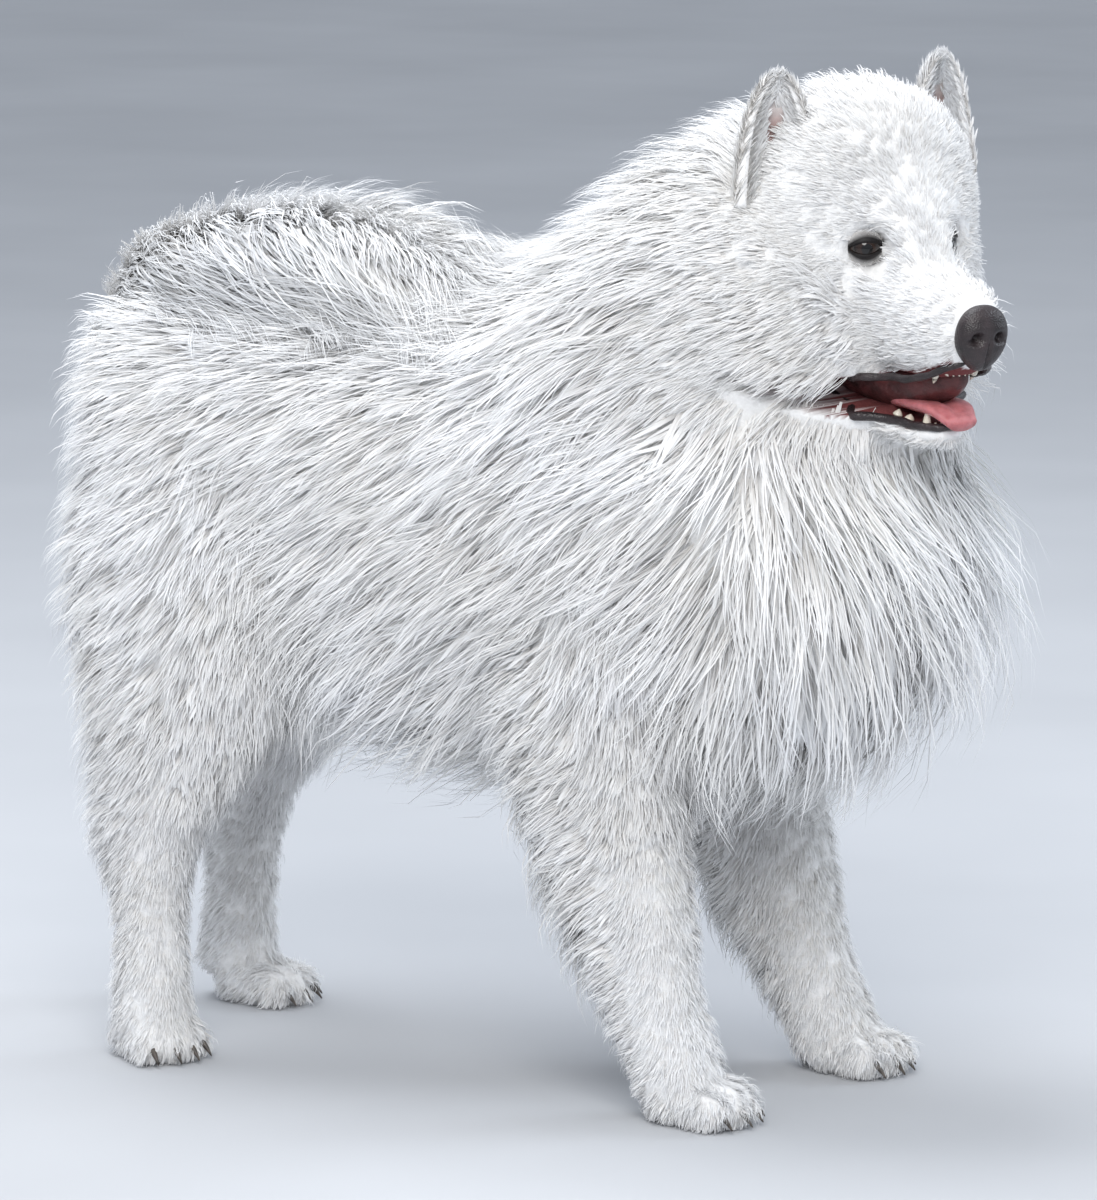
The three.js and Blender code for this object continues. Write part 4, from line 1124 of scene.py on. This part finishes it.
class SAMOYED_OT_ears(bpy.types.Operator):
    """Both ears: a thick cupped shell with short hair outside and longer wisps at the front edge"""

    bl_idname = "samoyed.ears"
    bl_label = "Ears"

    def execute(self, context):
        height = context.scene.samoyed_head.ear_height / MM
        rng = np.random.default_rng(context.scene.samoyed_body.seed + 5)
        leather, coat = ear_material(), coat_material()
        for side, name in ((1, "ear_left"), (-1, "ear_right")):
            rings, inner = self.shell(side, height)
            points, quads, caps = tube(rings, rings[0].mean(0), rings[-1].mean(0))
            piece = new_object(name, points, quads, caps)
            mark(piece, "inner", np.append(inner.ravel(), [0, 0]))
            dress(piece, leather, [name])
            for hair in EAR_HAIR:
                self.fur(context, name, side, height, rng, coat, *hair)
        return {"FINISHED"}

    def frame(self, side):
        """The ear's own place: its root beside the crown, leaning in a little and opening forward."""
        place, lean, back, open_to = EAR_PLACES[side]
        turn = turn_about("x", side * lean) @ turn_about("y", -back) @ turn_about("z", open_to)
        return lambda p: in_head(np.asarray(p) @ turn.T + (place[0], side * place[1], place[2]))

    def section(self, h, a, height, inside):
        """The ear's wall at height h and angle a, outside or inside.

        Its half width is 28 * sqrt(1 - h^3) * (1 - 0.18 h) millimetres, and it is cupped 0.7 as deep.
        """
        w = EAR_HALF_WIDTH * np.sqrt(np.maximum(0.02, 1 - h**3)) * (1 - 0.18 * h)
        thick = EAR_WALL * (1 - 0.45 * h)
        scale = np.maximum(0.3, 1 - thick / w) if inside else 1.0
        back = 0.15 * thick if inside else 0.0
        return np.stack([-EAR_CUP * w * np.cos(a) * scale + back, w * np.sin(a) * scale,
                         h * height + 0 * a], -1)

    def shell(self, side, height):
        """The ear's rings, outside then inside, and how far each point is bare inner skin."""
        h = np.linspace(0, 1, EAR_RINGS)[:, None]
        a = np.linspace(-EAR_WRAP, EAR_WRAP, EAR_AROUND)[None]
        outer, inner = self.section(h, a, height, False), self.section(h, a[:, ::-1], height, True)
        ring = np.concatenate([outer, inner], 1)
        flag = np.repeat([[1.0, 0.0]], EAR_AROUND, 1)
        deep = np.concatenate([a, a[:, ::-1]], 1)
        flag = flag * np.clip((1.2 - np.abs(deep)) / 0.35, 0, 1) * np.clip((0.9 - h) / 0.3, 0, 1)
        return self.frame(side)(ring[:, ::-1]), flag

    def fur(self, context, name, side, height, rng, coat, part, tufts, size):
        """Short hair all over the back of the ear, lying to its tip, and wisps inward from its edges."""
        place = self.frame(side)
        inside, at_back = part == "inside", part == "back"
        h = rng.uniform(0.0, 0.97, tufts)
        a = rng.uniform(-EAR_WRAP, EAR_WRAP, tufts)
        if part == "edge":
            a = np.sign(a) * rng.uniform(1.05, EAR_WRAP, tufts)
        if inside:
            a = np.sign(a) * rng.uniform(0.55 * (h < 0.75), 1.4, tufts)
        root = place(self.section(h, a, height, inside))
        up = unit(place(self.section(np.minimum(h + 0.02, 1), a, height, inside)) - root)
        round_way = unit(place(self.section(h, a + 0.02, height, inside)) - root)
        out = unit(np.cross(up, round_way))
        centre = place(np.stack([0 * h - 2, 0 * h, h * height], -1))
        out = out * np.sign(((root - centre) * out).sum(1, keepdims=True)) * (-1 if inside else 1)
        heading = up if at_back else up + unit(centre - root) * 0.55
        length = size * rng.uniform(0.7, 1.2, tufts) * (1 - 0.35 * h)
        region = np.full(tufts, len(NAMES) + (side > 0))
        guides = straight_guides(rng, root, out, heading, length, 0.0035 if at_back else 0.001,
                                 0.001, 6, region, h, a + math.pi)
        piece = coat_piece(f"hair_{name}_{part}", rng, guides, context.scene.samoyed_body, False, 0.5)
        dress(piece, coat)


PUPIL_BULGE = 0.05  # how far the clear front stands out, as a share of the eye's radius
LID_HALF_UP, LID_HALF_DOWN = 5.0, 3.9  # half heights of the opening above and below its middle
LID_GAP = 1.3  # from the eye to the lid's outer face
LID_FLARE = 4.0
LID_END = 1.95  # the angle from the way forward at which the band ends in the head
LID_HAIRS = 2600
OUTER_RINGS = np.linspace(0, 1, 13)[1:]


class SAMOYED_OT_eyes(bpy.types.Operator):
    """Both eyeballs with their lids"""

    bl_idname = "samoyed.eyes"
    bl_label = "Eyes"

    def execute(self, context):
        settings = context.scene.samoyed_head
        glass, lid_skin = eye_material(), lid_material()
        for side, name in ((1, "left"), (-1, "right")):
            forward, across, rise = eye_axes(side)
            middle = np.array([EYE_PLACE[0], side * EYE_PLACE[1], 0.0])
            axes = np.stack([across, rise, forward])
            radius = settings.eye_radius / MM
            theta, phi = np.linspace(0, math.pi, 44)[1:-1][::-1, None], circle(48)[None]
            bulge = radius * (1 + PUPIL_BULGE * np.exp(-((theta / 0.5) ** 2)))
            back, front = np.array([0, 0, -radius]), np.array([0, 0, radius * (1 + PUPIL_BULGE)])
            verts, quads, caps = tube(bulge[..., None] * unit_ball(theta, phi), back, front)
            piece = new_object(f"eyeball_{name}", in_head(verts @ axes + middle), quads, caps)
            ring = np.repeat(theta.ravel() / math.pi * 2, phi.size)
            mark(piece, "ring", np.append(ring, [1, 0]))
            dress(piece, glass, [f"eye_{name}"])
            half = settings.lid_half_length / MM
            self.lids(context, name, side, middle, axes, radius, half, lid_skin)
        return {"FINISHED"}

    def lids(self, context, name, side, middle, axes, radius, half, lid_skin):
        """A skin band from the almond opening outward over the eyeball and down into the head.

        The almond's edge is (a cos p, b sign(sin p) |sin p|^1.15) with b larger above; from there rings run
        outward on a ball a little larger than the eye, then flare back, and two inner rings turn in to
        touch the eye.
        """
        p = circle(72)
        y = half * np.cos(p)
        z = np.where(np.sin(p) > 0, LID_HALF_UP, LID_HALF_DOWN) * np.abs(np.sin(p)) ** 1.15
        z = z * np.sign(np.sin(p))
        tilt = -side * 0.12
        y, z = y * math.cos(tilt) - z * math.sin(tilt), y * math.sin(tilt) + z * math.cos(tilt)
        turn = np.arctan2(z, y)
        outer = radius + LID_GAP
        start = np.arcsin(np.minimum(np.hypot(y, z) / outer, 0.98))
        rings = [(start - 0.03, radius + 0.1), (start, radius + 0.9), (start, outer)]
        for r in OUTER_RINGS:
            rings.append((start + (LID_END - start) * r, outer + LID_FLARE * r**2.2))
        local = np.array([size * unit_ball(angle, turn) for angle, size in rings])
        verts = in_head(local.reshape(-1, 3) @ axes + middle)
        quads = grid_faces(len(local), len(p))[:, ::-1]
        piece = new_object(f"eyelids_{name}", verts, quads, np.empty((0, 3), int))
        distance = np.array([0, 0, 0, *OUTER_RINGS])
        corner = 1.25 + 0.6 * np.exp(-((p - (math.pi if side > 0 else 0)) ** 2))
        rim = np.clip(1.5 - distance[:, None] * 3.6 / corner[None], 0, 1)
        mark(piece, "rim", rim.ravel())
        dress(piece, lid_skin)
        rng = np.random.default_rng(side + 40)
        line = rng.integers(7, len(local) - 1, LID_HAIRS)
        turn_at = rng.integers(0, len(p), LID_HAIRS)
        surface = verts.reshape(len(local), len(p), 3)
        root = surface[line, turn_at]
        outward = unit(surface[line + 1, turn_at] - root)
        out = unit(root - in_head(middle))
        back = np.array([[-1.0, side * 0.35, -0.1]]) @ HEAD_TURN.T
        ones = np.ones(LID_HAIRS)
        guides = straight_guides(rng, root, out, outward * 0.8 + back, 0.0055 * ones, 0.0006, 0.00055, 4,
                                 FACE_NUMBERS[0] * ones, 0.6 * ones, p[turn_at])
        hair = coat_piece(f"hair_eyelids_{name}", rng, guides, context.scene.samoyed_body, True, 0.2)
        dress(hair, coat_material())


NOSE_HALF = np.array([19.5, 22.5, 11.5])  # half its width, height and depth
NOSE_PLACE = np.array([93.0, 0, -39.0])


class SAMOYED_OT_nose(bpy.types.Operator):
    """The nose leather with comma-shaped nostrils and the groove below them

    A nostril is a dip of depth * exp(-(across / a)^2 - (up / b)^2) in the front, with a slit to its side.
    """

    bl_idname = "samoyed.nose"
    bl_label = "Nose"

    def execute(self, context):
        ball = unit_ball(np.linspace(0, math.pi, 90)[1:-1][::-1, None], circle(110)[None])
        l, u, t = np.moveaxis(np.sign(ball) * np.abs(ball) ** 0.88 * NOSE_HALF, -1, 0)
        u = u - 1.5 * (u < 0) * (np.abs(l) / 18) ** 2
        l = l * (1 - 0.34 * np.clip(-u / 19, 0, 1) ** 1.5)
        ahead = np.clip(t / NOSE_HALF[2], 0, 1)
        for side in (-1, 1):
            dl, du = l - side * 8.6, u - 2.0
            hole = np.exp(-((dl / 3.6) ** 2 + (du / 3.4) ** 2))
            slit = np.exp(-(((l - side * 13.5) / 4.2) ** 2 + ((u + 1.0) / 1.7) ** 2))
            t = t - ahead * (8.0 * hole + 4.0 * slit)
            t = t + ahead * 1.0 * np.exp(-(((l - side * 9) / 6) ** 2 + ((u - 8) / 3) ** 2))
        t = t - ahead * 1.8 * np.exp(-((l / 1.1) ** 2)) * np.clip(0.4 - u / 15, 0, 1)
        local = np.stack([t, l, u], -1) + NOSE_PLACE
        back = NOSE_PLACE - (NOSE_HALF[2], 0, 0)
        verts, quads, caps = tube(local, back, local[-1].mean(0))
        pad = (in_head(verts), quads, caps)
        groove = curve_through([(98, 0, -48), (95, 0, -53), (90, 0, -58)], 14)
        strip = pipe(in_head(groove), np.linspace(0.0042, 0.0022, 14), 14)
        piece = new_object("nose_leather", *joined([pad, strip]))
        dress(piece, leather_material(), ["nose"])
        return {"FINISHED"}


LIP_RADII = (3.1, 3.1, 3.6, 3.6)  # upper lips, then lower lips


class SAMOYED_OT_mouth(bpy.types.Operator):
    """Lips, tongue and teeth of the open mouth"""

    bl_idname = "samoyed.mouth"
    bl_label = "Mouth"

    def execute(self, context):
        lips = []
        s = np.linspace(0, 1, 60)
        for path, radius in zip(SKIN["lips"], LIP_RADII):
            path = path + np.outer(0.35 * np.sin(s * 46), (0, 0, 1))
            lips.append(pipe(in_head(path), radius * MM * (1 - 0.25 * s + 0.05 * np.sin(s * 70)), 12))
        dress(new_object("lips", *joined(lips)), leather_material())
        verts, quads, caps = Form(TONGUE, head=True).surface(70, 56, 0)
        local = to_head(verts)
        local[:, 2] -= 2.2 * np.exp(-((local[:, 1] / 3.5) ** 2)) * (local[:, 0] < 76)
        local[:, 2] += 2.5 * (local[:, 1] / 18) ** 2
        tongue = new_object("tongue_soft", in_head(local), quads, caps)
        dress(tongue, tongue_material(), ["tongue"])
        # the dark block between palate and tongue stands in for the shade inside the mouth
        deep = Form(MOUTH_SHADE_BLOCK, head=True).surface(70, 56, 0)
        dress(new_object("mouth_shade_block", *deep), mouth_shade_material())
        teeth = self.row(-1, -68, 16, 78, 9, 2.0, 0) + self.row(1, -108, 13, 70, 12, 3.5, 2)
        dress(new_object("teeth", *joined(teeth)), enamel_material())
        return {"FINISHED"}

    def tooth(self, t, l, u, length, radius, lean):
        """One tooth from its root: a cone of radius * (1 - 0.9 s^1.7) that leans forward."""
        s = np.linspace(0, 1, 9)
        path = np.stack([t + lean * s**2, l * (1 - 0.06 * s), u + length * s], -1)
        return pipe(in_head(path), radius * MM * (1 - 0.9 * s**1.7), 10)

    def row(self, way, edge, spread, front, canine, others, cheek):
        """Each side: a canine, three front teeth and some cheek teeth, by steps along the jaw."""
        made = []
        for side in (-1, 1):
            made.append(self.tooth(front - 10, side * spread, edge, way * canine, 3.1, -2.5))
            for k in range(3):
                made.append(self.tooth(front - 2 - k * 1.2, side * (2.4 + k * 4.1), edge, way * others,
                                       2.0, 1))
            for k in range(cheek):
                made.append(self.tooth(front - 26 - k * 11, side * (spread + 3 + k * 2.2), edge,
                                       way * (others + 0.6 * k), 3.6, 0))
        return made


class SAMOYED_OT_claws(bpy.types.Operator):
    """The claws of all four paws"""

    bl_idname = "samoyed.claws"
    bl_label = "Claws"

    def execute(self, context):
        claws = [claw for place in PAWS.values() for claw in paw_parts(*place)[1]]
        points, quads, caps = joined(claws)
        points[:, 2] = np.maximum(points[:, 2], CLAW_GAP)
        dress(new_object("claws", points, quads, caps), claw_material())
        return {"FINISHED"}


AIM = np.array([0.0989, -0.0922, 0.355])  # the point between the dog's feet and back that the camera faces
FLOOR_HALF = 14
FLOOR_TILES = 14
# Each light: place, size, power and colour
LIGHTS = {
    "key": ((1.3, -2.9, 2.9), 2.4, 108, (1.0, 0.99, 0.97)),
    "top": ((-1.0, 0.2, 3.6), 2.6, 88, (0.93, 0.96, 1.0)),
    "rim": ((2.6, 2.4, 2.2), 1.8, 40, (0.85, 0.92, 1.0)),
}


class SAMOYED_OT_studio(bpy.types.Operator):
    """Pale floor, soft light and the camera"""

    bl_idname = "samoyed.studio"
    bl_label = "Studio"

    def execute(self, context):
        settings = context.scene.samoyed_studio
        scene = context.scene
        azimuth, elevation, distance = settings.azimuth, settings.elevation, settings.distance
        flat = math.cos(elevation)
        forward = np.array([-math.sin(azimuth) * flat, math.cos(azimuth) * flat, -math.sin(elevation)])
        data = bpy.data.cameras.new("camera")
        data.sensor_fit = "VERTICAL"
        data.sensor_height = 36
        data.lens = settings.lens
        data.clip_end = 100
        camera = bpy.data.objects.new("camera", data)
        scene.collection.objects.link(camera)
        camera.location = AIM + SHIFT - forward * distance
        camera.rotation_euler = (math.pi / 2 - elevation, 0, azimuth)
        scene.camera = camera
        u = np.linspace(-FLOOR_HALF, FLOOR_HALF, FLOOR_TILES + 1)
        x, y = np.meshgrid(u, u, indexing="ij")
        i, j = np.meshgrid(np.arange(FLOOR_TILES), np.arange(FLOOR_TILES), indexing="ij")
        row = FLOOR_TILES + 1
        k = (i * row + j).ravel()
        quads = np.stack([k, k + row, k + row + 1, k + 1], -1)
        points = np.stack([x, y, 0 * x - 0.0002], -1).reshape(-1, 3)
        floor = new_object("floor", points, quads, np.empty((0, 3), int))
        floor.data.materials.append(floor_material())
        world = bpy.data.worlds.new("studio_air")
        world.use_nodes = True
        air = world.node_tree.nodes["Background"]
        air.inputs["Color"].default_value = (0.80, 0.86, 0.95, 1)
        air.inputs["Strength"].default_value = 0.68
        scene.world = world
        for name, (place, size, power, colour) in LIGHTS.items():
            light = bpy.data.lights.new(name, "AREA")
            light.shape = "DISK"
            light.size = size
            light.energy = power
            light.color = colour
            lamp = bpy.data.objects.new(name, light)
            scene.collection.objects.link(lamp)
            lamp.location = place
            way = np.array([0, 0, 0.35]) - np.array(place)
            yaw = math.atan2(way[0], -way[1])
            lamp.rotation_euler = (math.atan2(math.hypot(way[0], way[1]), -way[2]), 0, math.pi + yaw)
        scene.view_settings.view_transform = "Standard"
        return {"FINISHED"}


class SAMOYED_PT_panel(bpy.types.Panel):
    """Lists the sizes and the pieces"""

    bl_idname = "SAMOYED_PT_panel"
    bl_label = "Samoyed"
    bl_space_type = "VIEW_3D"
    bl_region_type = "UI"
    bl_category = "Samoyed"

    def draw(self, context):
        for group in (context.scene.samoyed_body, context.scene.samoyed_head, context.scene.samoyed_studio):
            for name in group.__annotations__:
                self.layout.prop(group, name)
        for operator in OPERATORS:
            self.layout.operator(operator.bl_idname)


GROUPS = {"samoyed_body": BodySettings, "samoyed_head": HeadSettings, "samoyed_studio": StudioSettings}
OPERATORS = (SAMOYED_OT_skin, SAMOYED_OT_coat, SAMOYED_OT_ears, SAMOYED_OT_eyes, SAMOYED_OT_nose,
             SAMOYED_OT_mouth, SAMOYED_OT_claws, SAMOYED_OT_studio)


def register():
    for name, group in GROUPS.items():
        bpy.utils.register_class(group)
        setattr(bpy.types.Scene, name, bpy.props.PointerProperty(type=group))
    for operator in OPERATORS:
        bpy.utils.register_class(operator)
    bpy.utils.register_class(SAMOYED_PT_panel)


def unregister():
    bpy.utils.unregister_class(SAMOYED_PT_panel)
    for operator in reversed(OPERATORS):
        bpy.utils.unregister_class(operator)
    for name, group in GROUPS.items():
        delattr(bpy.types.Scene, name)
        bpy.utils.unregister_class(group)


def main():
    register()
    for name in ("studio", "skin", "coat", "ears", "eyes", "nose", "mouth", "claws"):
        getattr(bpy.ops.samoyed, name)()


if __name__ == "__main__":
    main()
